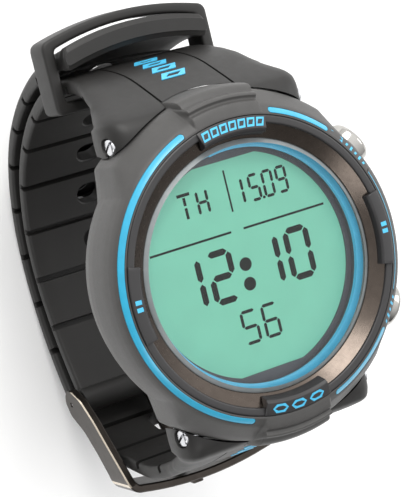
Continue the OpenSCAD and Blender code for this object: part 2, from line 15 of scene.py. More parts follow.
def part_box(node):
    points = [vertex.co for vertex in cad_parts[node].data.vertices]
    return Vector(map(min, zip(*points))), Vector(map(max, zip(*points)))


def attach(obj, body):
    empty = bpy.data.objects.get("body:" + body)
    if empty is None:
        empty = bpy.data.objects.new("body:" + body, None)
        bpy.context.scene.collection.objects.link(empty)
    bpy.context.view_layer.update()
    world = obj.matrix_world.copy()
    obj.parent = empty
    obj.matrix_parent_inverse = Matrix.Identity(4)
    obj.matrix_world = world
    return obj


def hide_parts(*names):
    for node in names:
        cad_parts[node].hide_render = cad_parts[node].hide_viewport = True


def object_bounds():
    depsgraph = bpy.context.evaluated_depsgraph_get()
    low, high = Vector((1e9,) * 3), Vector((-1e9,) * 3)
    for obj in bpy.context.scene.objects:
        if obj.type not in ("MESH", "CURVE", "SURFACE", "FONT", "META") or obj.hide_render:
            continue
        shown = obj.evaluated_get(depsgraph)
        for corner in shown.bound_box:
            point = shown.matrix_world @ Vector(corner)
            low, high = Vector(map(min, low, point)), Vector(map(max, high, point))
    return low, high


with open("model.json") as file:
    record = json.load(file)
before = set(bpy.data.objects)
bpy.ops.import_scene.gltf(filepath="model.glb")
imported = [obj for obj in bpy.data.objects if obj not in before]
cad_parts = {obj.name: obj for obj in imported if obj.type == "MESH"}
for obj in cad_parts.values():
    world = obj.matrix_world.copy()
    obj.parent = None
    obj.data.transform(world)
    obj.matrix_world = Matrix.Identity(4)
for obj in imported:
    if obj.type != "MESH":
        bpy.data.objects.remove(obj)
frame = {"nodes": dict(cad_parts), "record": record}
cad_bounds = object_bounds()

MM = 0.001


def corners(node):
    """Lowest and highest corner of a CAD node, in millimetres."""
    low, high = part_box(node)
    return low / MM, high / MM


# ---- Driving dimensions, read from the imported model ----
BEZEL_START, BEZEL_END = corners("bezel_ring")
BEZEL_LOW, CREST, BEZEL_OUT = BEZEL_START.z, BEZEL_END.z, BEZEL_END.x
CASE_END = corners("case_body")[1]
CASE_R, LUG_R = CASE_END.x, CASE_END.y
BACK_END = corners("case_back")[1]
BACK_R, BACK_T = BACK_END.x, BACK_END.z
LENS_START, LENS_END = corners("lens")
LENS_LOW, LENS_TOP, LENS_R = LENS_START.z, LENS_END.z, LENS_END.x
FLANGE_START, FLANGE_END = corners("flange_ring")
FLANGE_LOW, FLANGE_TOP, FLANGE_R = FLANGE_START.z, FLANGE_END.z, FLANGE_END.x
ACCENT_END = corners("accent_arcs")[1]
ACCENT_TOP, ACCENT_OUT = ACCENT_END.z, ACCENT_END.x
PANEL_TOP = corners("display_panel")[1].z
BUCKLE_HALF = corners("buckle_frame")[1].x
KEEPER_LOW, KEEPER_HIGH = corners("keeper")

BEZEL_IN = 19.3
STEP_R = 21.5
CAVITY_R = 18.6
BUTTONS = {"upper_button": 30, "lower_button": -30}
BUTTON_Z = 6.7
RECESS_FLOOR = 23
PIN_Y = 22.8
PIN_Z = 6
ACCENT_IN = 23.1
ACCENT_SPANS = [(109.5, 251.2), (46.3, 72.7), (-25.5, 23.2), (-72.6, -40)]
TILE_SPAN = 15.2
BEYOND = 30    # how far a cutter reaches to clear the whole watch


# ---- Curves and outlines ----
def steps(first, last, count):
    """count + 1 evenly spaced values from first to last."""
    return [first + (last - first) * k / count for k in range(count + 1)]


def ease(value, low=0.0, high=1.0):
    """0 below low, 1 above high and a smooth rise between them."""
    share = min(1.0, max(0.0, (value - low) / (high - low)))
    return share * share * (3 - 2 * share)


def lookup(table, value):
    """Smooth value at one place of a table of (place, value) pairs in rising order."""
    if value <= table[0][0]:
        return table[0][1]
    for (a, first), (b, second) in zip(table, table[1:]):
        if value <= b:
            return first + (second - first) * ease(value, a, b)
    return table[-1][1]


def bend(start, corner, end, count):
    """Curve from start to end, drawn towards the corner between them."""
    return [start * (1 - t) ** 2 + corner * (2 * t * (1 - t)) + end * t * t for t in steps(0, 1, count)]


def rounded(points, radius, arc=3, closed=True):
    """The outline with every corner turned into a short curve."""
    result = []
    for i, point in enumerate(points):
        here = Vector(point)
        if not closed and i in (0, len(points) - 1):
            result.append(here)
            continue
        before = Vector(points[i - 1]) - here
        after = Vector(points[(i + 1) % len(points)]) - here
        reach = min(radius, before.length * 0.48, after.length * 0.48)
        result += bend(here + before.normalized() * reach, here, here + after.normalized() * reach, arc)
    return result


def smooth_line(points, count=6):
    """Catmull-Rom curve through the points, with count steps to each stretch."""
    line = [Vector(p) for p in points]
    last = len(line) - 1
    curve = []
    for i in range(last):
        a, b = line[max(i - 1, 0)], line[i]
        c, d = line[i + 1], line[min(i + 2, last)]
        for k in range(count):
            t = k / count
            curve.append(0.5 * (2 * b + (c - a) * t + (2 * a - 5 * b + 4 * c - d) * t * t
                                + (3 * b - a - 3 * c + d) * t ** 3))
    return curve + [line[last]]


def walker(curve):
    """Length of a plane curve, and a function giving the point and left-hand normal at a length."""
    runs = [0.0]
    for a, b in zip(curve, curve[1:]):
        runs.append(runs[-1] + (b - a).length)

    def point(s):
        s = min(max(s, 0.0), runs[-1])
        i = next(k for k in range(1, len(runs)) if s <= runs[k] + 1e-9)
        share = (s - runs[i - 1]) / (runs[i] - runs[i - 1])
        return curve[i - 1].lerp(curve[i], share)

    def at(s):
        ahead = (point(s + 0.4) - point(s - 0.4)).normalized()
        return point(s), Vector((-ahead.y, ahead.x))

    return runs[-1], at


# ---- Meshes ----
def loft(rows, around=True, along=False, caps=False):
    """Points and faces between neighbouring rows that all have the same number of points."""
    count = len(rows[0])
    points = [p for row in rows for p in row]
    faces = []
    for i in range(len(rows) if along else len(rows) - 1):
        for j in range(count if around else count - 1):
            k = (i + 1) % len(rows)
            faces.append((i * count + j, i * count + (j + 1) % count,
                          k * count + (j + 1) % count, k * count + j))
    if caps:
        faces.append(tuple(reversed(range(count))))
        faces.append(tuple(range(len(points) - count, len(points))))
    return points, faces


def merged(*shapes):
    """Several (points, faces) shapes as one."""
    points, faces = [], []
    for more_points, more_faces in shapes:
        faces += [tuple(i + len(points) for i in face) for face in more_faces]
        points += list(more_points)
    return points, faces


def make(name, shape, sharp=32):
    """A smooth-shaded object in metres from a shape in millimetres."""
    points, faces = shape
    mesh = bpy.data.meshes.new(name)
    mesh.from_pydata([Vector(p) * MM for p in points], [], faces)
    piece = bpy.data.objects.new(name, mesh)
    bpy.context.scene.collection.objects.link(piece)
    finish_mesh(piece, sharp)
    return piece


def finish_mesh(piece, sharp=32):
    """Welds, drops stray geometry, turns the normals outward and marks the sharp edges."""
    work = bmesh.new()
    work.from_mesh(piece.data)
    bmesh.ops.remove_doubles(work, verts=work.verts, dist=2e-6)
    bmesh.ops.dissolve_degenerate(work, edges=work.edges, dist=1e-6)
    loose = [v for v in work.verts if not v.link_faces]
    bmesh.ops.delete(work, geom=loose, context="VERTS")
    bmesh.ops.recalc_face_normals(work, faces=work.faces)
    work.to_mesh(piece.data)
    work.free()
    for face in piece.data.polygons:
        face.use_smooth = True
    piece.data.set_sharp_from_angle(angle=math.radians(sharp))


def bake(piece):
    """Applies the object's modifiers."""
    graph = bpy.context.evaluated_depsgraph_get()
    old = piece.data
    piece.data = bpy.data.meshes.new_from_object(piece.evaluated_get(graph))
    piece.modifiers.clear()
    bpy.data.meshes.remove(old)


def carve(piece, tools, operation="DIFFERENCE", sharp=32):
    """Cuts the tool objects out of a piece, or joins them to it, and removes them."""
    for tool in tools:
        step = piece.modifiers.new("carve", "BOOLEAN")
        step.operation = operation
        step.solver = "EXACT"
        step.object = tool
    bake(piece)
    for tool in tools:
        mesh = tool.data
        bpy.data.objects.remove(tool)
        bpy.data.meshes.remove(mesh)
    finish_mesh(piece, sharp)
    return piece


def turn(section, angles):
    """Rows of a (radius, height) section at the given angles about +Z."""
    rows = []
    for angle in angles:
        c, s = math.cos(math.radians(angle)), math.sin(math.radians(angle))
        rows.append([(p[0] * c, p[0] * s, p[1]) for p in section])
    return rows


def ring(section, count=192):
    """A full turn of a closed section."""
    return loft(turn(section, steps(0, 360, count)[:-1]), along=True)


def sector(section, start, end, pitch=1.5):
    """Part of a turn of a closed section, with flat ends."""
    count = max(2, round((end - start) / pitch))
    return loft(turn(section, steps(start, end, count)), caps=True)


def lathe(profile, count=48):
    """A solid turned about its own Z from (radius, height) points, the first and last on the axis."""
    rows = turn(profile[1:-1], steps(0, 360, count)[:-1])
    points, faces = loft(rows, around=False, along=True)
    each = len(rows[0])
    low, high = len(points), len(points) + 1
    points = points + [(0, 0, profile[0][1]), (0, 0, profile[-1][1])]
    for i in range(count):
        k = (i + 1) % count
        faces.append((low, i * each, k * each))
        faces.append((high, k * each + each - 1, i * each + each - 1))
    return points, faces


def moved(shape, matrix):
    """The shape carried by a matrix."""
    points, faces = shape
    return [matrix @ Vector(p) for p in points], faces


def radial(angle):
    """Places a lathe shape on a button's line: its Z runs outward at that angle."""
    return (Matrix.Rotation(math.radians(angle), 4, "Z") @ Matrix.Translation((0, 0, BUTTON_Z))
            @ Matrix.Rotation(math.radians(90), 4, "Y"))


def crosswise(y, z, side=1):
    """Places a lathe shape on a line along X through (y, z)."""
    return Matrix.Translation((0, y, z)) @ Matrix.Rotation(math.radians(90 * side), 4, "Y")


def post(radius, low, high, count=48):
    """A cylinder about its own Z."""
    return lathe([(0, low), (radius, low), (radius, high), (0, high)], count)


def block(low, high):
    """A box between two corners."""
    outline = [(low[0], low[1]), (high[0], low[1]), (high[0], high[1]), (low[0], high[1])]
    return loft([[(x, y, z) for x, y in outline] for z in (low[2], high[2])], caps=True)


def bore(radius, y, z, reach=BEYOND):
    """A round cutter along X through (y, z)."""
    return make("bore", moved(post(radius, -reach, reach), crosswise(y, z)))


def decal(outline, place, lift, depth):
    """A thin raised shape: an outline in surface coordinates, set on the surface given by place(u, v)."""
    flat = [place(u, v) for u, v in outline]
    top = [p + n * lift for p, n in flat]
    low = [p - n * depth for p, n in flat]
    return loft([low, top], caps=True)


# ---- Materials ----
def linear(red, green, blue):
    """A colour in sRGB steps of 0 to 255 as linear light."""
    def one(value):
        share = value / 255
        return share / 12.92 if share <= 0.04045 else ((share + 0.055) / 1.055) ** 2.4
    return (one(red), one(green), one(blue), 1.0)


class Finish:
    """Builds one node material around a Principled shader."""

    def __init__(self, name, colour, rough, metallic=0.0, specular=0.5):
        self.name = name
        self.material = bpy.data.materials.new(name)
        self.material.use_nodes = True
        self.tree = self.material.node_tree
        self.shader = self.tree.nodes["Principled BSDF"]
        self.shader.inputs["Base Color"].default_value = colour
        self.shader.inputs["Roughness"].default_value = rough
        self.shader.inputs["Metallic"].default_value = metallic
        self.shader.inputs["Specular IOR Level"].default_value = specular
        self.place = self.tree.nodes.new("ShaderNodeTexCoord")
        self.colour = colour
        self.rough = rough

    def node(self, kind):
        return self.tree.nodes.new("ShaderNode" + kind)

    def link(self, source, target):
        self.tree.links.new(source, target)

    def noise(self, size, detail=3.0, stretch=None):
        """Noise with features of about size millimetres, drawn out along an axis if stretch is given."""
        made = self.node("TexNoise")
        made.inputs["Scale"].default_value = 1 / (size * MM)
        made.inputs["Detail"].default_value = detail
        source = self.place.outputs["Object"]
        if stretch:
            scale = self.node("Mapping")
            scale.inputs["Scale"].default_value = stretch
            self.link(source, scale.inputs["Vector"])
            source = scale.outputs["Vector"]
        self.link(source, made.inputs["Vector"])
        return made.outputs["Fac"]

    def mottle(self, size, amount):
        """Lightens and darkens the colour in soft patches."""
        ramp = self.node("ValToRGB")
        dark = [c * (1 - amount) for c in self.colour[:3]] + [1]
        light = [min(1, c * (1 + amount)) for c in self.colour[:3]] + [1]
        ramp.color_ramp.elements[0].position = 0.35
        ramp.color_ramp.elements[0].color = dark
        ramp.color_ramp.elements[1].position = 0.65
        ramp.color_ramp.elements[1].color = light
        self.link(self.noise(size), ramp.inputs["Fac"])
        self.link(ramp.outputs["Color"], self.shader.inputs["Base Color"])
        return self

    def uneven_gloss(self, size, amount, stretch=None):
        """Varies the roughness by amount either way."""
        spread = self.node("MapRange")
        spread.inputs["To Min"].default_value = self.rough - amount
        spread.inputs["To Max"].default_value = self.rough + amount
        self.link(self.noise(size, 4, stretch), spread.inputs["Value"])
        self.link(spread.outputs["Result"], self.shader.inputs["Roughness"])
        return self

    def grain(self, size, depth, strength=0.6):
        """Fine bumps of about size millimetres across and depth millimetres deep."""
        bump = self.node("Bump")
        bump.inputs["Strength"].default_value = strength
        bump.inputs["Distance"].default_value = depth * MM
        self.link(self.noise(size, 2), bump.inputs["Height"])
        self.link(bump.outputs["Normal"], self.shader.inputs["Normal"])
        return self

    def painted_glow(self, strength):
        """Painted light: a glow in the surface's own colour that brightens a surface lying in shade."""
        self.shader.inputs["Emission Color"].default_value = self.colour
        self.shader.inputs["Emission Strength"].default_value = strength
        return self

    def coat(self, weight, rough):
        """A clear lacquer over the surface."""
        self.shader.inputs["Coat Weight"].default_value = weight
        self.shader.inputs["Coat Roughness"].default_value = rough
        return self


def glass_material():
    """Clear glass that lets light straight through and mirrors more at a slant."""
    finish = Finish("lens_clear", (1, 1, 1, 1), 0.03)
    tree = finish.tree
    clear = finish.node("BsdfTransparent")
    clear.inputs["Color"].default_value = (0.97, 0.985, 0.98, 1)
    shine = finish.node("BsdfGlossy")
    shine.inputs["Roughness"].default_value = 0.03
    facing = finish.node("Fresnel")
    facing.inputs["IOR"].default_value = 1.33
    mix = finish.node("MixShader")
    finish.link(facing.outputs["Fac"], mix.inputs["Fac"])
    finish.link(clear.outputs["BSDF"], mix.inputs[1])
    finish.link(shine.outputs["BSDF"], mix.inputs[2])
    finish.link(mix.outputs["Shader"], tree.nodes["Material Output"].inputs["Surface"])
    return finish.material


def build_materials():
    """Every finish, by the name of the record's material slot or a detail of it."""
    finishes = [
        Finish("case_polymer", linear(64, 63, 62), 0.5)
        .mottle(1.6, 0.05).uneven_gloss(0.5, 0.05).grain(0.16, 0.03, 0.55),
        Finish("bezel_black", linear(40, 39, 40), 0.42)
        .mottle(2.5, 0.05).uneven_gloss(0.7, 0.05).grain(0.1, 0.012, 0.4),
        Finish("bezel_cone", linear(88, 80, 74), 0.26, metallic=1.0)
        .mottle(1.2, 0.06).uneven_gloss(0.5, 0.05).grain(0.12, 0.008, 0.35),
        Finish("accent_blue", linear(45, 160, 196), 0.32)
        .mottle(2.0, 0.05).grain(0.15, 0.006, 0.3).coat(0.35, 0.2),
        Finish("mark_blue", linear(70, 176, 216), 0.4).mottle(0.8, 0.07).grain(0.1, 0.008, 0.4),
        # Painted light: the flange's blue glows a little to brighten its wall, which lies in shade under the
        # lens.
        Finish("flange_blue", linear(84, 178, 216), 0.3).mottle(2.0, 0.05).grain(0.15, 0.004, 0.3).painted_glow(0.3),
        Finish("gasket_grey", linear(190, 194, 190), 0.55).mottle(1.0, 0.05).grain(0.12, 0.01, 0.4),
        Finish("lens_frost", linear(128, 134, 136), 0.42).mottle(1.4, 0.06).grain(0.08, 0.01, 0.4),
        Finish("display_mask", linear(88, 84, 92), 0.5).mottle(3.0, 0.04).grain(0.2, 0.004, 0.3),
        # Painted light: the panel glows a little to make up for the light that the lens and the walls around
        # it keep off.
        Finish("display_panel", linear(122, 196, 172), 0.42)
        .mottle(5.0, 0.03).grain(0.25, 0.004, 0.25).painted_glow(0.24),
        Finish("lcd_ink", linear(14, 17, 16), 0.6, specular=0.15).mottle(0.6, 0.08).grain(0.1, 0.002, 0.2),
        Finish("clear_polymer", linear(210, 226, 220), 0.3).mottle(2.0, 0.04).grain(0.3, 0.005),
        Finish("seal_rubber", linear(32, 32, 33), 0.6).mottle(0.7, 0.08).grain(0.12, 0.01),
        Finish("module_white", linear(205, 204, 198), 0.5).mottle(1.8, 0.04).grain(0.2, 0.01),
        Finish("circuit_green", linear(28, 92, 56), 0.4).mottle(1.2, 0.12).grain(0.3, 0.01).coat(0.4, 0.25),
        Finish("chip_black", linear(30, 30, 32), 0.55).mottle(0.6, 0.1).grain(0.1, 0.008),
        Finish("steel", linear(206, 207, 210), 0.2, metallic=1.0).mottle(1.0, 0.04).uneven_gloss(0.3, 0.05),
        Finish("button_steel", linear(176, 174, 170), 0.13, metallic=1.0)
        .mottle(1.5, 0.03).uneven_gloss(0.4, 0.04),
        Finish("brass", linear(214, 178, 96), 0.3, metallic=1.0).mottle(0.8, 0.06).uneven_gloss(0.3, 0.06),
        Finish("back_polymer", linear(66, 66, 68), 0.5)
        .mottle(2.0, 0.05).uneven_gloss(0.6, 0.05).grain(0.18, 0.03),
        Finish("strap_rubber", linear(33, 32, 31), 0.5, specular=0.4)
        .mottle(4.0, 0.06).uneven_gloss(1.2, 0.06).grain(0.14, 0.014, 0.45),
        Finish("gunmetal", linear(66, 61, 57), 0.3, metallic=0.9)
        .mottle(1.5, 0.08).uneven_gloss(0.25, 0.07, (1, 1, 6)).grain(0.12, 0.006, 0.3),
        Finish("gunmetal_edge", linear(226, 214, 196), 0.22, metallic=1.0)
        .mottle(1.0, 0.05).uneven_gloss(0.2, 0.05),
    ]
    made = {finish.name: finish.material for finish in finishes}
    made["lens_glass"] = glass_material()
    return made


MATERIALS = build_materials()


def dress(piece, body, finish, replaces=()):
    """Gives a piece its finish and its body, and hides the CAD nodes it stands for."""
    piece.data.materials.clear()
    piece.data.materials.append(MATERIALS[finish])
    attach(piece, body)
    if replaces:
        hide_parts(*replaces)
    return piece


def paint(piece, finish, chosen):
    """Gives another finish to the faces that pass chosen(centre in millimetres, normal)."""
    piece.data.materials.append(MATERIALS[finish])
    last = len(piece.data.materials) - 1
    for face in piece.data.polygons:
        if chosen(face.center / MM, face.normal):
            face.material_index = last


def finish_cad_nodes():
    """Procedural finishes for the CAD nodes, by the material slot that the record gives them."""
    for part in frame["record"]["subparts"]:
        node = frame["nodes"].get(part["node"])
        slot = part["material_slot"]
        if node is None or slot not in MATERIALS:
            continue
        node.data.materials.clear()
        node.data.materials.append(MATERIALS[slot])


# ---- Case ----
# Outer sections of the case from the lip at the bezel down to the back, as (radius, height):
# the round wall, the shoulder towards a strap, and the stepped lug at 12 and 6 o'clock.
ROUND_WALL = [(22.8, 13.88), (23.05, 13.9), (23.5, 13.62), (24.0, 13.22), (24.25, 12.95), (24.42, 12.7),
              (24.55, 12.4), (24.66, 12.1), (24.75, 11.8), (24.82, 11.4), (24.9, 10.9), (24.96, 10.4),
              (25, 9.6), (25, 8.0), (24.95, 6.3), (24.7, 4.4), (24.2, 2.7), (23.7, 1.3), (23.4, 0.35),
              (23.25, 0)]
SHOULDER_WALL = [(22.8, 13.88), (23.05, 13.9), (23.5, 13.62), (24.0, 13.22), (24.4, 12.88), (24.85, 12.25),
                 (25.3, 11.6), (25.75, 10.95), (26.2, 10.3), (26.55, 9.7), (26.8, 9.2), (26.92, 8.7),
                 (27, 8.0), (27, 7.0), (27, 5.5), (27, 3.6), (26.9, 2.1), (26.5, 0.9), (25.9, 0.25),
                 (25.2, 0)]
LUG_WALL = [(22.8, 13.88), (23.05, 13.9), (24.3, 13.66), (24.85, 13.42), (25.0, 13.05), (25.25, 12.82),
            (25.5, 12.9), (25.75, 13.12), (26.05, 13.0), (26.25, 12.55), (26.3, 12.0), (26.45, 11.72),
            (27.0, 11.45), (27.5, 10.8), (27.75, 9.6), (27.9, 7.4), (27.9, 3.4), (27.6, 1.8), (26.7, 0.6),
            (25.6, 0)]
SHOULDER_R = 27.0
SHOULDER_STEP = 2.0    # how far the shoulder stands out beyond the round wall
GASKET_T = 0.4
LUG_EDGE = 75.4
LUG_BLEND = 1.5


def wall_radius(folded):
    """Outer radius at an angle from 3 or 9 o'clock: round, then a flat flank, then the shoulder."""
    flank_from, flank_to = Vector((21, 11)), Vector((17.9, 20.4))
    along = flank_to - flank_from
    heading = Vector((math.cos(math.radians(folded)), math.sin(math.radians(folded))))
    across = heading.x * along.y - heading.y * along.x
    is_ahead = across > 0.1
    flank = (flank_from.x * along.y - flank_from.y * along.x) / across if is_ahead else SHOULDER_R
    return min(max(CASE_R, flank), SHOULDER_R)


def case_section(angle):
    """Closed section of the case shell at one angle."""
    folded = math.degrees(math.asin(min(1, abs(math.sin(math.radians(angle))))))
    shoulder = (wall_radius(folded) - CASE_R) / SHOULDER_STEP
    lug = ease(folded, LUG_EDGE, LUG_EDGE + LUG_BLEND)
    outer = []
    for a, b, c in zip(ROUND_WALL, SHOULDER_WALL, LUG_WALL):
        side = Vector(a).lerp(Vector(b), shoulder)
        outer.append(side.lerp(Vector(c), lug))
    back_room, lens_room, bezel_room = BACK_R + 0.1, LENS_R + 0.1, BEZEL_OUT + 0.06
    back_seat, lens_seat = BACK_T + 0.05, LENS_LOW - GASKET_T
    pocket = [(back_room, 0), (back_room, back_seat), (CAVITY_R, back_seat), (CAVITY_R, lens_seat),
              (lens_room, lens_seat), (lens_room, BEZEL_LOW), (bezel_room, BEZEL_LOW),
              (bezel_room, CREST - 0.2)]
    return rounded(outer, 0.3, 2, closed=False) + [Vector(p) for p in pocket]


def case_angles():
    """Angles for the case shell, closer together where the flank and the lug begin."""
    quarter = steps(0, 36, 24) + steps(37, 51, 28) + steps(52, 74, 16)
    quarter += steps(LUG_EDGE - 0.3, LUG_EDGE + LUG_BLEND + 0.3, 10) + steps(78, 90, 9)
    half = quarter + [180 - a for a in reversed(quarter[:-1])]
    return half + [a + 180 for a in half[1:-1]]


def recess_cutter(angle):
    """Round recess for a button cap, with a broken edge."""
    wide, mouth = 3.9, 4.25
    profile = [(0, RECESS_FLOOR), (wide, RECESS_FLOOR), (wide, 24.5), (mouth, 25.1), (mouth, BEYOND),
               (0, BEYOND)]
    return make("recess", moved(lathe(profile, 64), radial(angle)))


def slope_height(radius):
    """Height of the case's sloping rim, where the blue accent lies."""
    rim_foot = 13.23
    return ACCENT_TOP - (radius - ACCENT_IN) * (ACCENT_TOP - rim_foot) / (ACCENT_OUT - ACCENT_IN)


def rim_bar(start, end, inner=ACCENT_IN, outer=ACCENT_OUT, lift=0.03, depth=0.3):
    """A bar with round ends, let into the sloping rim."""
    middle, half = (inner + outer) / 2, (outer - inner) / 2
    reach = math.degrees(half / middle)
    ends = [(start + reach * (1 - math.cos(t)), math.sin(t)) for t in steps(0.25, math.pi / 2, 5)]
    tail = [(end - (a - start), share) for a, share in reversed(ends)]
    body = [(a, 1.0) for a in steps(start + reach, end - reach, max(1, round((end - start) / 2)))[1:-1]]
    bevel = 0.05
    rows = []
    for angle, share in ends + body + tail:
        low, high = middle - half * share, middle + half * share
        section = [(low + bevel, slope_height(low + bevel) + lift),
                   (high - bevel, slope_height(high - bevel) + lift),
                   (high, slope_height(high) + lift - 0.06), (high, slope_height(high) - depth),
                   (low, slope_height(low) - depth), (low, slope_height(low) + lift - 0.06)]
        rows += turn(section, [angle])
    return loft(rows, caps=True)


def build_case():
    """The case shell with its recesses and bores, and the blue line round it."""
    shell = make("case_shell", loft([turn(case_section(a), [a])[0] for a in case_angles()], along=True))
    stem_room, room = 2.2, 0.06
    tools = [recess_cutter(a) for a in BUTTONS.values()]
    tools += [make("stem_bore", moved(post(stem_room, 15, RECESS_FLOOR + 0.5), radial(a)))
              for a in BUTTONS.values()]
    tools += [bore(1.0, side * PIN_Y, PIN_Z) for side in (-1, 1)]
    tools += [make("channel", rim_bar(start - 0.1, end + 0.1, ACCENT_IN - room, ACCENT_OUT + room, 1, 0.34))
              for start, end in ACCENT_SPANS]
    carve(shell, tools)
    dress(shell, "case", "case_polymer", replaces=["case_body"])

    for k, (start, end) in enumerate(ACCENT_SPANS):
        arc = make(f"accent_arc_{k + 1}", rim_bar(start, end))
        dress(arc, "case", "accent_blue", replaces=["accent_arcs"] if k == 0 else [])


def place_on_rim(angle, radius=23.5):
    """Surface coordinates on the sloping rim: u along it in millimetres, v outward."""
    def place(u, v):
        r = radius + v
        a = math.radians(angle) - u / radius
        c, s = math.cos(a), math.sin(a)
        return Vector((r * c, r * s, slope_height(r))), Vector((0.6 * c, 0.6 * s, 0.8))
    return place


def build_rim_marks():
    """A pointer and rows of generic ticks beside the buttons, in place of printed words."""
    pointer = [(-1.25, 0.4), (1.25, -0.42), (1.25, 0.42)]
    shapes = [decal(pointer, place_on_rim(41.8), 0.04, 0.2)]
    for first, last in ((36.4, 26.4), (-28, -37.6)):
        for k in range(5):
            angle = first + (last - first) * k / 4
            tall = 0.4 if k % 2 else 0.26
            tick = [(-0.3, -tall), (0.1, -tall), (0.3, tall), (-0.1, tall)]
            shapes.append(decal(tick, place_on_rim(angle), 0.04, 0.2))
    marks = make("rim_marks", merged(*shapes))
    dress(marks, "case", "mark_blue", replaces=["button_icons"])


# ---- Bezel ----
def build_bezel():
    """The ring that clamps the lens, with a metallic inner cone."""
    section = rounded([(BEZEL_IN, BEZEL_LOW), (BEZEL_OUT, BEZEL_LOW), (BEZEL_OUT, CREST - 0.12),
                       (BEZEL_OUT - 0.22, CREST), (STEP_R + 0.2, CREST), (STEP_R + 0.02, CREST - 0.1),
                       (STEP_R - 0.04, CREST - 0.42), (BEZEL_IN + 0.1, BEZEL_LOW + 0.25),
                       (BEZEL_IN, BEZEL_LOW + 0.12)], 0.07, 3)
    bezel = make("bezel_shell", ring(section))
    dress(bezel, "case", "bezel_black", replaces=["bezel_ring"])
    paint(bezel, "bezel_cone", lambda c, n: math.hypot(c.x, c.y) < STEP_R - 0.05 and n.z > 0.3)


def tile(section, middle, span=TILE_SPAN, radius=0.08):
    """A raised tile on the bezel, its ends drawn in a little to give them a bevel."""
    full = rounded(section, radius, 2)
    centre = sum(full, Vector((0, 0))) / len(full)
    small = [Vector((p.x, centre.y + (p.y - centre.y) * 0.86)) for p in full]
    inside = span - 0.25
    rows = turn(small, [middle - span])
    rows += turn(full, steps(middle - inside, middle + inside, 24))
    rows += turn(small, [middle + span])
    return loft(rows, caps=True)


# The top face of each kind of tile, as its inner and outer (radius, height)
PAD_TOP = [(20.95, CREST + 0.42), (22.5, CREST + 0.33)]
PLATE_TOP = [(20.75, CREST + 0.82), (22.68, CREST + 0.16)]
PAD_SECTION = [(20.45, CREST - 0.98), (21.4, CREST - 0.45), (21.7, CREST - 0.12), (22.68, CREST - 0.12),
               (22.68, CREST + 0.22), PAD_TOP[1], PAD_TOP[0], (20.6, CREST + 0.12)]
PLATE_SECTION = [(19.75, CREST - 1.42), (21.4, CREST - 0.45), (21.7, CREST - 0.1), (22.68, CREST - 0.1),
                 PLATE_TOP[1], PLATE_TOP[0], (20.25, CREST + 0.5)]


def place_on_tile(top, angle):
    """Surface coordinates on a tile's top: u clockwise in millimetres, v from 0 inside to 1 outside."""
    inner, outer = Vector(top[0]), Vector(top[1])
    slope = (outer - inner).normalized()

    def place(u, v):
        spot = inner.lerp(outer, v)
        a = math.radians(angle) - u / inner.x
        c, s = math.cos(a), math.sin(a)
        return Vector((spot.x * c, spot.x * s, spot.y)), Vector((-slope.y * c, -slope.y * s, slope.x))
    return place


def drawn_in(outline, width):
    """The outline moved towards its centre by width across and along."""
    centre = sum((Vector(p) for p in outline), Vector((0, 0))) / len(outline)
    inner = []
    for p in outline:
        arm = Vector(p) - centre
        inner.append(centre + Vector((arm.x - math.copysign(min(width[0], abs(arm.x)), arm.x),
                                      arm.y - math.copysign(min(width[1], abs(arm.y)), arm.y))))
    return inner


def frame_decal(outline, width, place, lift, depth):
    """A raised outline with an open middle."""
    inner = drawn_in(outline, width)
    rows = []
    for edge, height in ((outline, -depth), (outline, lift), (inner, lift), (inner, -depth)):
        rows.append([place(u, v)[0] + place(u, v)[1] * height for u, v in edge])
    return loft(rows, along=True)


def build_bezel_tiles():
    """The four raised tiles, and generic marks on them in place of names."""
    for name, section, angle, replaced in (("pad_3", PAD_SECTION, 0, ["bezel_pads"]),
                                           ("pad_9", PAD_SECTION, 180, []),
                                           ("plate_top", PLATE_SECTION, 90, ["bezel_plate_12"]),
                                           ("plate_foot", PLATE_SECTION, 270, ["bezel_plate_6"])):
        dress(make(f"bezel_{name}", tile(section, angle)), "case", "bezel_black", replaces=replaced)

    dash = [(-0.32, 0.16), (0.32, 0.16), (0.32, 0.8), (-0.32, 0.8)]
    lozenge = [(-0.75, 0.14), (0.45, 0.14), (0.75, 0.84), (-0.45, 0.84)]
    hexagon = [(-1.3, 0.48), (-0.7, 0.14), (0.7, 0.14), (1.3, 0.48), (0.7, 0.84), (-0.7, 0.84)]
    shapes = [decal(dash, place_on_tile(PAD_TOP, angle), 0.035, 0.08)
              for angle in (-1.45, 1.45, 180 - 1.45, 180 + 1.45)]
    shapes += [frame_decal(lozenge, (0.24, 0.16), place_on_tile(PLATE_TOP, 90 - 4.15 * k), 0.04, 0.08)
               for k in range(-3, 4)]
    shapes += [frame_decal(hexagon, (0.3, 0.17), place_on_tile(PLATE_TOP, 270 - 8.6 * k), 0.04, 0.08)
               for k in range(-1, 2)]
    marks = make("bezel_marks", merged(*shapes))
    dress(marks, "case", "mark_blue", replaces=["bezel_inlays"])


# ---- Lens and display ----
def build_lens():
    """Clear lens with a frosted edge that shows as a thin ring inside the bezel."""
    edge, face, ledge = BEZEL_IN - 0.1, BEZEL_IN - 0.66, 11.9
    profile = [(0, LENS_LOW), (LENS_R, LENS_LOW), (LENS_R, ledge - 0.18), (LENS_R - 0.18, ledge),
               (edge, ledge), (edge, ledge + 0.12), (face, LENS_TOP - 0.03), (face - 0.06, LENS_TOP),
               (0, LENS_TOP)]
    lens = make("lens_crystal", lathe(profile, 192), sharp=20)
    dress(lens, "case", "lens_glass", replaces=["lens"])
    paint(lens, "lens_frost", lambda c, n: math.hypot(c.x, c.y) > face - 0.05)


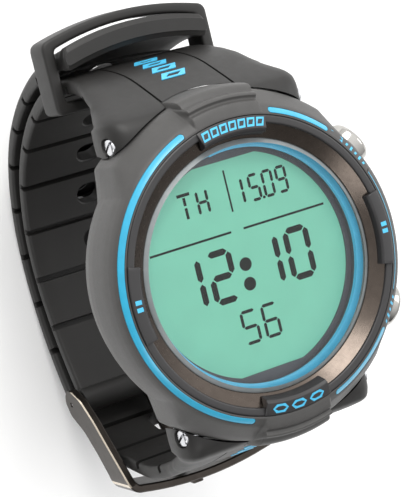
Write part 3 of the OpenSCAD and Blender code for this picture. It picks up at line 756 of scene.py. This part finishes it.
def build_flange():
    """Two blue steps under the lens with a dark groove between them, open near 12 o'clock."""
    top_in, line_in, groove = FLANGE_R - 0.5, FLANGE_R - 0.42, FLANGE_TOP - 0.48
    seat, ceiling, core_in = BEZEL_IN - 0.1, LENS_LOW - 0.36, FLANGE_R - 0.25
    lower = rounded([(line_in, groove - 0.42), (FLANGE_R, groove - 0.42), (FLANGE_R, groove - 0.06),
                     (line_in, groove - 0.06)], 0.05, 2)
    upper = rounded([(top_in + 0.06, groove + 0.12), (FLANGE_R, groove + 0.12), (FLANGE_R, ceiling),
                     (seat, ceiling), (seat, FLANGE_TOP), (top_in, FLANGE_TOP)], 0.04, 2)
    gap_from, gap_to = 100, 122
    for name, section, start, end, replaced in (
            ("flange_lower", lower, gap_to - 360, gap_from + 4, ["flange_ring"]),
            ("flange_upper", upper, gap_to - 352, gap_from, [])):
        step = make(name, sector(section, start, end, 2))
        # The blue steps carry a painted glow that brightens them where they lie in shade.
        dress(step, "case", "flange_blue", replaces=replaced)
    core = rounded([(core_in, FLANGE_LOW), (FLANGE_R + 0.04, FLANGE_LOW), (FLANGE_R + 0.04, ceiling - 0.06),
                    (core_in, ceiling - 0.06)], 0.03, 1)
    dress(make("flange_backing", ring(core)), "case", "display_mask")
    washer = rounded([(seat + 0.04, LENS_LOW - GASKET_T), (LENS_R, LENS_LOW - GASKET_T), (LENS_R, LENS_LOW),
                      (seat + 0.04, LENS_LOW)], 0.06, 2)
    dress(make("lens_washer", ring(washer)), "case", "gasket_grey", replaces=["lens_gasket"])


SEGMENTS = {"0": "abcdef", "1": "bc", "2": "abged", "5": "afgcd", "6": "afgedc", "9": "abcdfg",
            "H": "bcefg"}


def segment(start, end, half, nib):
    """A bar with pointed ends from start to end."""
    a, b = Vector(start), Vector(end)
    way = (b - a).normalized()
    side = Vector((-way.y, way.x)) * half
    return [a, a + way * nib + side, b - way * nib + side, b, b - way * nib - side, a + way * nib - side]


def digit(char, left, low, width, height, thick):
    """Outlines of the active bars of one character in its box."""
    half, space = thick / 2, thick * 0.14
    x0, x1 = left + half, left + width - half
    y0, y1, ym = low + half, low + height - half, low + height / 2
    ends = {"a": ((x0, y1), (x1, y1)), "b": ((x1, y1), (x1, ym)), "c": ((x1, ym), (x1, y0)),
            "d": ((x0, y0), (x1, y0)), "e": ((x0, ym), (x0, y0)), "f": ((x0, y1), (x0, ym)),
            "g": ((x0, ym), (x1, ym))}
    bars = []
    for name in SEGMENTS[char]:
        a, b = (Vector(p) for p in ends[name])
        way = (b - a).normalized() * space
        bars.append(segment(a + way, b - way, half, half))
    return bars


def bar(x0, y0, x1, y1, half):
    """A plain line with square ends."""
    a, b = Vector((x0, y0)), Vector((x1, y1))
    way = (b - a).normalized()
    side = Vector((-way.y, way.x)) * half
    return [a + side, b + side, b - side, a - side]


def dot(x, y, radius, count=28):
    """A round outline."""
    return [Vector((x + radius * math.cos(t), y + radius * math.sin(t)))
            for t in steps(0, 2 * math.pi, count)[:-1]]


def build_display():
    """A day, a date, the time and its seconds, as bars on the panel."""
    outlines = []
    for char, left in (("1", -12.4), ("2", -6.9), ("1", 1.4), ("0", 7.0)):
        outlines += digit(char, left, -4.8, 4.6, 8.4, 1.0)
    outlines += [dot(-0.3, 0.2, 1.05), dot(-0.35, -2.9, 1.05)]
    for char, left in (("5", -3.4), ("6", 0.3)):
        outlines += digit(char, left, -12, 2.9, 5.4, 0.5)
    outlines += [bar(-8.95, 13.1, -6.75, 13.1, 0.24), bar(-7.85, 12.7, -7.85, 11.45, 0.24),
                 bar(-7.85, 11.1, -7.85, 9.4, 0.24)]
    outlines += digit("H", -5.9, 9.2, 2.1, 4.1, 0.46)
    for char, left in (("1", 0.4), ("5", 3.3), ("0", 5.75), ("9", 8.2)):
        outlines += digit(char, left, 9.0, 2.0, 4.3, 0.46)
    outlines += [dot(5.55, 9.25, 0.24, 12)]
    outlines += [bar(-15.6, 5.56, -1.4, 5.56, 0.17), bar(0.8, 5.56, 15.4, 5.56, 0.17),
                 bar(-0.3, 8.5, -0.3, 15.0, 0.15)]

    def place(x, y):
        return Vector((x, y, PANEL_TOP)), Vector((0, 0, 1))

    ink = make("display_segments", merged(*[decal(o, place, 0.012, 0.01) for o in outlines]))
    dress(ink, "case", "lcd_ink")


# ---- Buttons and strap pins ----
def build_buttons():
    """Domed metal caps on stems, with a groove for the retaining clip."""
    base, groove = 25.4, 0.7
    profile = rounded([(0, 18.9), (1, 18.9), (1, 19.15), (groove, 19.15), (groove, 19.65), (1, 19.65),
                       (1, base), (3.5, base), (3.6, base + 0.15), (3.6, base + 1.45), (3.35, base + 1.95),
                       (2.95, base + 2.1), (2.75, base + 1.87), (2.45, base + 1.94), (2.1, base + 2.35),
                       (1.4, base + 2.6), (0.6, base + 2.7), (0, base + 2.72)], 0.12, 3, closed=False)
    for name, angle in BUTTONS.items():
        cap = make(f"{name}_cap", moved(lathe(profile, 72), radial(angle)))
        dress(cap, name, "button_steel", replaces=[name])


def build_pin_screws():
    """Slotted heads with a broken edge at both ends of each strap pin."""
    base = 15.9
    profile = rounded([(0, base - 4), (0.5, base - 4), (0.5, base), (1.32, base), (1.4, base + 0.1),
                       (1.4, base + 0.66), (1.16, base + 0.92), (0, base + 0.98)], 0.1, 2, closed=False)
    slot = block((-2, -0.22, base + 0.5), (2, 0.22, base + 2))
    slot_turn = Matrix.Rotation(math.radians(35), 4, "Z")
    for row, side_y in (("top", 1), ("foot", -1)):
        for mark, side_x in (("left", -1), ("right", 1)):
            placing = crosswise(side_y * PIN_Y, PIN_Z, side_x)
            screw = make(f"pin_screw_{row}_{mark}", moved(lathe(profile, 40), placing))
            carve(screw, [make("slot", moved(slot, placing @ slot_turn))])
            first = row == "top" and mark == "left"
            dress(screw, "case", "steel", replaces=["strap_pin_screws"] if first else [])


# ---- Rubber strap ----
# Middle of the band seen from 3 o'clock, as (y, z), from the case to the free end.
UPPER_PATH = [(25.7, 6), (28.5, 0.5), (30.9, -5.5), (32.3, -13.5), (31.8, -22), (28.3, -31.2),
              (23.3, -38.4), (16.8, -43.9), (8, -47.4), (-1, -47.9), (-10, -46.2), (-17, -43.8),
              (-22.3, -41.4)]
LOWER_PATH = [(-24.7, 6.2), (-28.7, -3.5), (-31.4, -11.8), (-32.9, -19.5), (-32.4, -27.2), (-31.3, -35),
              (-28.4, -41.8), (-23.6, -46.4), (-17.4, -49.2), (-9.5, -51.4), (-0.8, -52.4), (8, -51.8),
              (16.2, -49.2), (23.2, -44.6), (28.8, -38), (33, -30), (35.4, -21.5), (36.3, -14),
              (36.4, -10.6)]
HINGE = (-22.3, -41.4)
# The block beside the case: its outer and wrist-side edges as (distance from the middle, height)
EAR_OUTER = [(16.5, 7.6), (20.5, 8.7), (23.4, 9.05), (25.5, 8.4), (27.0, 6.5)]
EAR_INNER = [(16.5, 0.25), (20.3, 0.25), (22.8, 0.5), (24.9, 0.3), (26.2, -0.7)]
# Half width of the outer and wrist-side faces at each height, from the narrow band up to the wings
OUTER_WIDTHS = [(-12.5, 12.5), (-9, 13.1), (-6, 13.95), (-3.6, 14.5), (-0.5, 14.85), (1.1, 15.1),
                (2.3, 15.6), (3.6, 16.2), (5, 17), (6.2, 17.6), (7.4, 17.8), (16, 17)]
INNER_WIDTHS = [(-12, 12.5), (-8.5, 12.9), (-5.5, 13.6), (-3, 14.2), (-1.6, 14.7), (-0.6, 15.4),
                (0.1, 16.4), (1, 17)]
THICK = 2.6
GROOVE_PITCH = 8.9
GROOVE_DEPTH = 1.25
GROOVE_HALF = 0.46


class Band:
    """One half of the strap: its stations from the case to the end, and what changes along it."""

    def __init__(self, path, outward, side, joined_at, first_groove):
        self.length, self.at = walker(smooth_line(path, 8))
        self.outward, self.side, self.joined_at = outward, side, joined_at
        plain_end = 12
        count = int((self.length - plain_end - first_groove) / GROOVE_PITCH) + 1
        self.grooves = [first_groove + GROOVE_PITCH * k for k in range(count)]

    def faces(self, s):
        """Outer and wrist-side points, as (y, z), at a length along the band."""
        middle, left = self.at(s)
        out = left * self.outward * THICK / 2
        return middle + out, middle - out

    def place(self, s, x, lift=0.0):
        """Point and outward normal on the outer face."""
        outer, inner = self.faces(s)
        normal = (outer - inner).normalized()
        spot = outer + normal * lift
        return Vector((x, spot.x, spot.y)), Vector((0, normal.x, normal.y))

    def along(self, s):
        """Matrix that puts a shape on the band: local Z outward and local Y along it."""
        across = Vector((1, 0, 0))
        spot, normal = self.place(s, 0, -THICK / 2)
        basis = Matrix((across, normal.cross(across), normal)).transposed().to_4x4()
        return Matrix.Translation(spot) @ basis

    def stations(self, extra=()):
        """Lengths at which the band needs a section: regular, at the grooves, and the extra ones."""
        marks = {round(s, 3) for s in steps(self.joined_at, self.length, round(self.length / 1.1))}
        lip = GROOVE_HALF + 0.07
        for groove in self.grooves:
            marks = {s for s in marks if abs(s - groove) > GROOVE_HALF + 0.25}
            marks |= {groove - lip, groove - GROOVE_HALF, groove + GROOVE_HALF, groove + lip}
        marks = {s for s in marks if all(abs(s - e) > 0.3 for e in extra)}
        return sorted(marks | set(extra))

    def groove_depth(self, s):
        """How deep the wrist side is cut at a station."""
        return GROOVE_DEPTH if any(abs(s - g) <= GROOVE_HALF + 0.01 for g in self.grooves) else 0.0


def band_section(outer, inner, cut=0.0, reach=0.85, share=0.4, crown=0.0, arch=0.0, columns=10):
    """Closed outline across the band between an outer and a wrist-side point, both (y, z).

    cut lowers the wrist side, reach and share give how far the edge's curve runs across and
    through, crown draws the outer face's sides in, and arch lifts the middle of both faces."""
    outer, inner = Vector(outer), Vector(inner)
    through = inner - outer
    thick = through.length
    way = through.normalized()
    outer_half, inner_half = lookup(OUTER_WIDTHS, outer.y), lookup(INNER_WIDTHS, inner.y)
    depth_in = thick - cut
    low_reach = min(0.6, reach)
    low_share = min(0.55, (depth_in - share * thick) * 0.8)
    side = [(reach * (1 - math.sin(a)), share * thick * (1 - math.cos(a)))
            for a in steps(0, math.pi / 2, 6)[1:]]
    side += [(low_reach * (1 - math.sin(a)), depth_in - low_share * (1 - math.cos(a)))
             for a in steps(math.pi / 2, 0, 4)]
    outline = [(t, reach, 0.0) for t in steps(-1, 1, columns)]
    outline += [(1, inset, depth) for inset, depth in side]
    outline += [(t, low_reach, depth_in) for t in steps(1, -1, columns)[1:-1]]
    outline += [(-1, inset, depth) for inset, depth in reversed(side)]
    points = []
    for across, inset, depth in outline:
        half = outer_half + (inner_half - outer_half) * depth / thick
        x = across * (half - inset)
        bow = (x / half) ** 2
        fall = crown * bow * (1 - depth / thick) - arch * (1 - bow)
        spot = outer + way * (depth + fall)
        points.append((x, spot.x, spot.y))
    return points


def ear_curve(band, edge, face, fine=5):
    """One edge of the block beside the case, run on into the same face of the band."""
    ends = [band.faces(band.joined_at + k * 1.6)[face] for k in range(3)]
    return smooth_line([(band.side * y, z) for y, z in edge] + ends, fine)


def ear_sections(band):
    """Sections from the block beside the case to the start of the plain band."""
    fine = 5
    count = fine * len(EAR_OUTER)
    outer, inner = ear_curve(band, EAR_OUTER, 0, fine), ear_curve(band, EAR_INNER, 1, fine)
    rows = []
    for k in range(count):
        reach = lookup([(0, 4.6), (1, 3.4)], k / count)
        share = lookup([(0, 0.6), (0.7, 0.62), (1, 0.66)], k / count)
        rows.append(band_section(outer[k], inner[k], reach=reach, share=share, crown=0.25))
    return rows


def edge_at(s, joined_at):
    """Reach, share and crown of the band's edge curve, easing from the wing to the narrow strap."""
    far = ease(s, joined_at, joined_at + 14)
    return 3.4 - 2.5 * far, 0.66 - 0.26 * far, 0.25 - 0.13 * far


def slot_cutter(width, length, placing, flare=0.22):
    """An oval hole through the band, its mouth broken on both faces."""
    half, straight, face = width / 2, (length - width) / 2, THICK / 2
    ovals = []
    for height, more in ((-2.2, flare), (0.02 - face, flare), (flare - face, 0), (face - flare, 0),
                         (face - 0.02, flare), (2.2, flare)):
        around = []
        for a in steps(0, 360, 40)[:-1]:
            c, s = math.cos(math.radians(a)), math.sin(math.radians(a))
            shift = straight * (1 if s > 1e-9 else -1 if s < -1e-9 else 0)
            around.append((c * (half + more), s * (half + more) + shift, height))
        ovals.append(around)
    return make("slot", moved(loft(ovals, caps=True), placing))


def case_cutters(side):
    """Room for the case, the lug and the pin in a strap's wings."""
    case_room, lug_room, lug_span = SHOULDER_R + 0.25, LUG_R + 0.08, 13.75
    lug = sector([(20, -1), (lug_room, -1), (lug_room, BEYOND), (20, BEYOND)],
                 90 * side - lug_span, 90 * side + lug_span, 1)
    dish = lathe([(0, 16.38), (1.5, 16.38), (1.5, 17.0), (1.62, 17.25), (2.6, 18.6), (0, 18.6)], 40)
    tools = [make("case_room", post(case_room, -16, BEYOND, 240)), make("lug_room", lug),
             bore(1.02, side * PIN_Y, PIN_Z)]
    return tools + [make("head_room", moved(dish, crosswise(side * PIN_Y, PIN_Z, end))) for end in (-1, 1)]


def panel_cutters(band, last=21):
    """Two fine grooves that set off the middle panel."""
    curve = ear_curve(band, EAR_OUTER, 0)[10:-11]
    curve += [band.faces(s)[0] for s in steps(band.joined_at, last, 10)]
    tools = []
    for x in (-6.35, 6.35):
        rows = []
        for k, spot in enumerate(curve):
            heading = (curve[min(k + 1, len(curve) - 1)] - curve[max(k - 1, 0)]).normalized()
            out = Vector((-heading.y, heading.x)) * band.outward
            deep, high = spot - out * 0.75, spot + out
            sides = [(-0.1, deep), (0.1, deep), (0.2, spot), (0.35, high), (-0.35, high), (-0.2, spot)]
            rows.append([(x + shift, p.x, p.y) for shift, p in sides])
        tools.append(make("panel_groove", loft(rows, caps=True)))
    return tools


def strap_rows(band, extra=(), shape=None):
    """All the sections of one strap half; shape(s) may change the two faces near its end."""
    rows = ear_sections(band)
    for s in band.stations(extra):
        outer, inner = band.faces(s)
        reach, share, crown = edge_at(s, band.joined_at)
        more = shape(s) if shape else {}
        way = (outer - inner).normalized()
        outer = outer + way * more.get("lift", 0)
        inner = inner - way * more.get("drop", 0)
        rows.append(band_section(outer, inner, cut=band.groove_depth(s), reach=reach, share=share,
                                 crown=crown, arch=more.get("arch", 0)))
    return rows


def panel_marks(band, name, first, body, node):
    """A row of raised slanted frames on the middle panel, in place of a printed word."""
    outline = [(-2.6, -0.95), (1.6, -0.95), (2.6, 0.95), (-1.6, 0.95)]
    shapes = []
    for k in range(4):
        s = first + 2.9 * k
        shapes.append(frame_decal(outline, (1.0, 0.5), lambda u, v: band.place(s + v, u), 0.12, 0.15))
    dress(make(name, merged(*shapes)), body, "mark_blue", replaces=[node])


def build_upper_strap():
    """The half at 12 o'clock, which ends in the barrel that holds the buckle's pin."""
    band = Band(UPPER_PATH, 1, 1, 7.0, 12.4)
    strap = make("strap_upper", loft(strap_rows(band), caps=True))
    half, round_r = 12.5, 2.3
    barrel = rounded([(0, -half), (round_r, -half), (round_r, half), (0, half)], 0.3, 3, closed=False)
    carve(strap, [make("barrel", moved(lathe(barrel, 48), crosswise(*HINGE)))], "UNION")
    notch = moved(block((-1.6, -3.6, -4), (1.6, 2.1, 4)), Matrix.Translation((0, *HINGE)))
    tools = case_cutters(1) + panel_cutters(band) + [bore(1.03, *HINGE), make("tongue_notch", notch)]
    across = Matrix.Rotation(math.radians(90), 4, "Z")
    for s in [band.grooves[0] + GROOVE_PITCH * (3.5 + k) for k in range(6)]:
        if s < band.length - 17:
            tools.append(slot_cutter(3.6, 4.6, band.along(s) @ across))
    carve(strap, tools)
    dress(strap, "upper_strap", "strap_rubber", replaces=["upper_strap"])
    panel_marks(band, "panel_marks_top", 8.2, "upper_strap", "strap_marks_12")


def build_lower_strap():
    """The half at 6 o'clock, which runs through the buckle and the keeper to the free end."""
    band = Band(LOWER_PATH, -1, -1, 9.0, 22.7)
    end = band.length
    lip, foot_lip = 0.36, 0.3

    def tip(s):
        """The free end thickens into two lips and arches across its width."""
        swell = ease(s, end - 24, end - 7)
        lift = lookup([(end - 3.3, 0), (end - 2.7, lip), (end - 2.0, lip), (end - 1.75, 0.02),
                       (end - 1.5, 0.02), (end - 1.25, lip), (end - 0.5, lip), (end, -0.45)], s)
        drop = lookup([(end - 2.9, 0), (end - 2.3, foot_lip), (end - 0.5, foot_lip), (end, -0.5)], s)
        return {"lift": lift + 0.2 * swell, "drop": drop + 0.2 * swell, "arch": 1.8 * swell}

    tip_stations = [end - back for back in (3.3, 2.95, 2.7, 2.4, 2.05, 1.9, 1.75, 1.5, 1.35, 1.2, 0.8, 0.5,
                                            0.25, 0.1, 0)]
    strap = make("strap_lower", loft(strap_rows(band, tip_stations, tip), caps=True))
    tools = case_cutters(-1) + panel_cutters(band)
    for s in [45] + [62.8 + GROOVE_PITCH * k for k in range(10)]:
        if s < end - 16:
            tools.append(slot_cutter(4.4, 7, band.along(s)))
    carve(strap, tools)
    dress(strap, "lower_strap", "strap_rubber", replaces=["lower_strap"])
    panel_marks(band, "panel_marks_foot", 8.4, "lower_strap", "strap_marks_6")


# ---- Buckle and keeper ----
# Lower and upper edge of the buckle's arms, as (y, z)
ARM_LOW = [(-36.4, -31.8), (-34.6, -32.3), (-30.6, -35.4), (-26.9, -38.9), (-24.4, -42.9), (-22.3, -43.9)]
ARM_HIGH = [(-36.4, -24.6), (-35.3, -24.6), (-32.4, -27.1), (-28.5, -30.5), (-24.6, -33.8), (-21.4, -37.2),
            (-19.9, -40.6)]
PLATE_LOW, PLATE_HIGH = -32.2, -24.6
ARM_END = -36.4
SHEET = 1.4
BOW_R = 59.3
PLATE_FACE = -38.2
CHAMFER = 0.24


def straight(table, value):
    """Linear value at one place of a table of (place, value) pairs in rising order."""
    for (a, first), (b, second) in zip(table, table[1:]):
        if value <= b:
            return first + (second - first) * max(0.0, value - a) / (b - a)
    return table[-1][1]


def bowed(x):
    """Distance from the middle of the watch to the buckle's bowed plate."""
    return PLATE_FACE + SHEET / 2 + BOW_R - math.sqrt(BOW_R ** 2 - x ** 2)


def buckle_stations():
    """Stations (x, y, low, high) along the bent sheet, from one eye round to the other."""
    x = BUCKLE_HALF - SHEET / 2
    eye_y, eye_z = HINGE
    eye_r, turn_r = 2.5, 1.7
    half = []
    for back in [eye_r * math.cos(a) for a in steps(0.05, math.pi / 2, 10)]:
        rise = math.sqrt(max(0.0, eye_r ** 2 - back ** 2))
        top = min(straight(ARM_HIGH, eye_y + back), eye_z + rise + 9 * ease(eye_r - back, 0, eye_r * 1.6))
        half.append((x, eye_y + back, eye_z - rise, max(eye_z + rise, top)))
    half += [(x, y, straight(ARM_LOW, y), straight(ARM_HIGH, y)) for y in steps(eye_y, -34.2, 22)[1:]]
    for t in steps(0, math.pi / 2, 7)[1:]:
        y = bowed(x - turn_r) + turn_r - turn_r * math.sin(t)
        low = straight(ARM_LOW, max(y, ARM_END))
        low += (PLATE_LOW - low) * ease(t, 0.2, 1.5)
        half.append((x - turn_r + turn_r * math.cos(t), y, low, straight(ARM_HIGH, max(y, ARM_END))))
    plate = [(at_x, bowed(at_x), PLATE_LOW, PLATE_HIGH) for at_x in steps(x - turn_r, turn_r - x, 18)[1:-1]]
    return half + plate + [(-a, b, c, d) for a, b, c, d in reversed(half)]


def sheet_section(x, y, low, high, heading):
    """Upright section of the buckle's sheet with chamfered edges."""
    side = Vector((-heading.y, heading.x)) * SHEET / 2
    thin = side * (1 - 2 * CHAMFER / SHEET)
    gap = min(CHAMFER, (high - low) * 0.3)
    outline = [(side, low + gap), (side, high - gap), (thin, high), (-thin, high),
               (-side, high - gap), (-side, low + gap), (-thin, low), (thin, low)]
    return [(x + out.x, y + out.y, z) for out, z in outline]


def build_buckle_frame():
    """The bent sheet: two arms from the hinge to a bowed cross plate, with bright edges."""
    stations = buckle_stations()
    rows = []
    for k, (x, y, low, high) in enumerate(stations):
        before, after = stations[max(k - 1, 0)], stations[min(k + 1, len(stations) - 1)]
        heading = Vector((after[0] - before[0], after[1] - before[1])).normalized()
        rows.append(sheet_section(x, y, low, high, heading))
    sheet = make("buckle_plate", loft(rows, caps=True), sharp=25)
    carve(sheet, [bore(0.45, *HINGE)], sharp=25)
    dress(sheet, "buckle_frame", "gunmetal", replaces=["buckle_frame"])
    edge_x, edge_z = BUCKLE_HALF - 0.3, -43.5
    paint(sheet, "gunmetal_edge", lambda c, n: abs(c.x) > edge_x and 0.25 < abs(n.x) < 0.95 and c.z > edge_z)


def build_buckle_pin():
    """The hinge pin, thinner where it passes through the eyes."""
    thin, thick, end, shoulder = 0.4, 0.93, 14.35, 13.05
    profile = [(0, -end), (thin, -end), (thin, -shoulder), (thick, 0.05 - shoulder),
               (thick, shoulder - 0.05), (thin, shoulder), (thin, end), (0, end)]
    pin = make("buckle_axle", moved(lathe(profile, 32), crosswise(*HINGE)))
    dress(pin, "upper_strap", "steel", replaces=["buckle_pin"])


def build_buckle_prong():
    """The tongue: a bar from a barrel on the pin, through a strap hole and over the cross plate."""
    length, at = walker(smooth_line([HINGE, (-26.2, -39.3), (-30.3, -37.3), (-34.6, -35.6), (-37.7, -33.9),
                                     (-39.2, -31), (-39.3, -28)], 6))
    rows = []
    for s in steps(0.6, length, 36):
        spot, left = at(s)
        wide = lookup([(length - 1.2, 1.0), (length, 0.35)], s)
        deep = 0.5 * wide
        section = rounded([(-wide, -deep), (wide, -deep), (wide, deep), (-wide, deep)], 0.22, 2)
        rows.append([(p.x, spot.x + left.x * p.y, spot.y + left.y * p.y) for p in section])
    prong = make("buckle_prong", loft(rows, caps=True))
    barrel = lathe(rounded([(0, -1), (1.85, -1), (1.85, 1), (0, 1)], 0.2, 2, closed=False), 40)
    carve(prong, [make("barrel", moved(barrel, crosswise(*HINGE)))], "UNION")
    carve(prong, [bore(1.0, *HINGE, reach=5)])
    dress(prong, "buckle_tongue", "gunmetal", replaces=["buckle_tongue"])


def keeper_loop(half, low, side, crown, corner):
    """Plan outline of the keeper, or of its opening: square below, arched above, with round corners."""
    top = [Vector((x, side + (crown - side) * (1 - (x / half) ** 2))) for x in steps(half, -half, 24)]
    outline = [Vector((-half, low)), Vector((half, low))] + top
    result = []
    for i, here in enumerate(outline):
        before, after = outline[i - 1] - here, outline[(i + 1) % len(outline)] - here
        if (-before).angle(after) > 0.6:
            start = here + before.normalized() * min(corner, before.length * 0.9)
            end = here + after.normalized() * min(corner, after.length * 0.9)
            result += bend(start, here, end, 6)
        else:
            result.append(here)
    return result


def build_keeper():
    """A rubber loop with soft edges, arched over the strap's free end."""
    low, high = KEEPER_LOW, KEEPER_HIGH
    outer = keeper_loop(high.x - 0.05, low.y, 39.7, high.y, 1.3)
    inner = keeper_loop(12.95, low.y + 1.8, 38.4, 40.3, 0.8)
    middle, half = (low.z + high.z) / 2, (high.z - low.z) / 2
    rows = []
    for a, b in zip(outer, inner):
        wall = (b - a).length
        out = (a - b).normalized()
        section = rounded([(0, -half), (wall, -half), (wall, half), (0, half)], 0.62, 4)
        rows.append([(b.x + out.x * p.x, b.y + out.y * p.x, middle + p.y) for p in section])
    dress(make("strap_keeper", loft(rows, along=True)), "keeper", "strap_rubber", replaces=["keeper"])


# ---- Stage ----
def area_light(name, direction, distance, size, power, colour=(1, 1, 1)):
    """A round soft light that faces the watch from a direction."""
    data = bpy.data.lights.new(name, "AREA")
    data.shape = "DISK"
    data.size = size
    data.energy = power
    data.color = colour
    lamp = bpy.data.objects.new(name, data)
    bpy.context.scene.collection.objects.link(lamp)
    way = Vector(direction).normalized()
    lamp.location = way * distance
    lamp.rotation_mode = "QUATERNION"
    lamp.rotation_quaternion = way.to_track_quat("Z", "Y")


def build_world():
    """White surroundings, brighter behind 12 o'clock than before 6 o'clock."""
    world = bpy.data.worlds.new("studio")
    bpy.context.scene.world = world
    world.use_nodes = True
    tree = world.node_tree
    place = tree.nodes.new("ShaderNodeTexCoord")
    toward = tree.nodes.new("ShaderNodeVectorMath")
    toward.operation = "DOT_PRODUCT"
    toward.inputs[1].default_value = Vector((0.45, 0.62, 0.64)).normalized()
    ramp = tree.nodes.new("ShaderNodeMapRange")
    for name, value in (("From Min", -0.35), ("From Max", 1.0), ("To Min", 0.18), ("To Max", 1.6)):
        ramp.inputs[name].default_value = value
    background = tree.nodes["Background"]
    background.inputs["Color"].default_value = (1, 1, 1, 1)
    tree.links.new(place.outputs["Generated"], toward.inputs[0])
    tree.links.new(toward.outputs["Value"], ramp.inputs["Value"])
    tree.links.new(ramp.outputs["Result"], background.inputs["Strength"])


def build_stage():
    """Pale floor just under the lowest point, three soft lights and white surroundings."""
    ground = cad_bounds[0].z / MM - 0.05
    wide = 3.0 / MM
    outline = [(-wide, -wide), (wide, -wide), (wide, wide), (-wide, wide)]
    floor = make("floor", ([(x, y, ground) for x, y in outline], [(0, 1, 2, 3)]))
    paper = Finish("pale_floor", (0.93, 0.93, 0.93, 1), 0.9, specular=0.1).mottle(60, 0.01)
    floor.data.materials.append(paper.material)
    area_light("key", (-0.1, 0.76, 0.63), 0.9, 0.5, 5.0, (1.0, 0.99, 0.97))
    area_light("side", (-0.55, -0.6, 0.6), 0.9, 0.4, 1.6)
    area_light("rim", (0.8, 0.1, 0.5), 1.0, 0.5, 2.0)
    build_world()


def build_camera():
    """Looks down from the 9 o'clock side with 12 o'clock up, as the product is pictured."""
    target = Vector((-7.376, 4.690, 9.262)) * MM
    distance, azimuth, elevation, roll = 0.30136, -107.44, 63.317, 91.84
    a, e = math.radians(azimuth), math.radians(elevation)
    back = Vector((math.sin(a) * math.cos(e), -math.cos(a) * math.cos(e), math.sin(e)))
    data = bpy.data.cameras.new("view")
    data.sensor_width = 36
    data.lens = 144.87
    data.clip_start, data.clip_end = 0.01, 10
    camera = bpy.data.objects.new("view", data)
    bpy.context.scene.collection.objects.link(camera)
    level = (-back).to_track_quat("-Z", "Y")
    spin = Matrix.Rotation(math.radians(roll), 4, "Z").to_quaternion()
    camera.rotation_mode = "QUATERNION"
    camera.rotation_quaternion = level @ spin
    camera.location = target + back * distance
    bpy.context.scene.camera = camera
    bpy.context.scene.view_settings.view_transform = "Standard"


build_camera()
finish_cad_nodes()
build_case()
build_rim_marks()
build_bezel()
build_bezel_tiles()
build_lens()
build_flange()
build_display()
build_buttons()
build_pin_screws()
build_upper_strap()
build_lower_strap()
build_buckle_frame()
build_buckle_pin()
build_buckle_prong()
build_keeper()
build_stage()
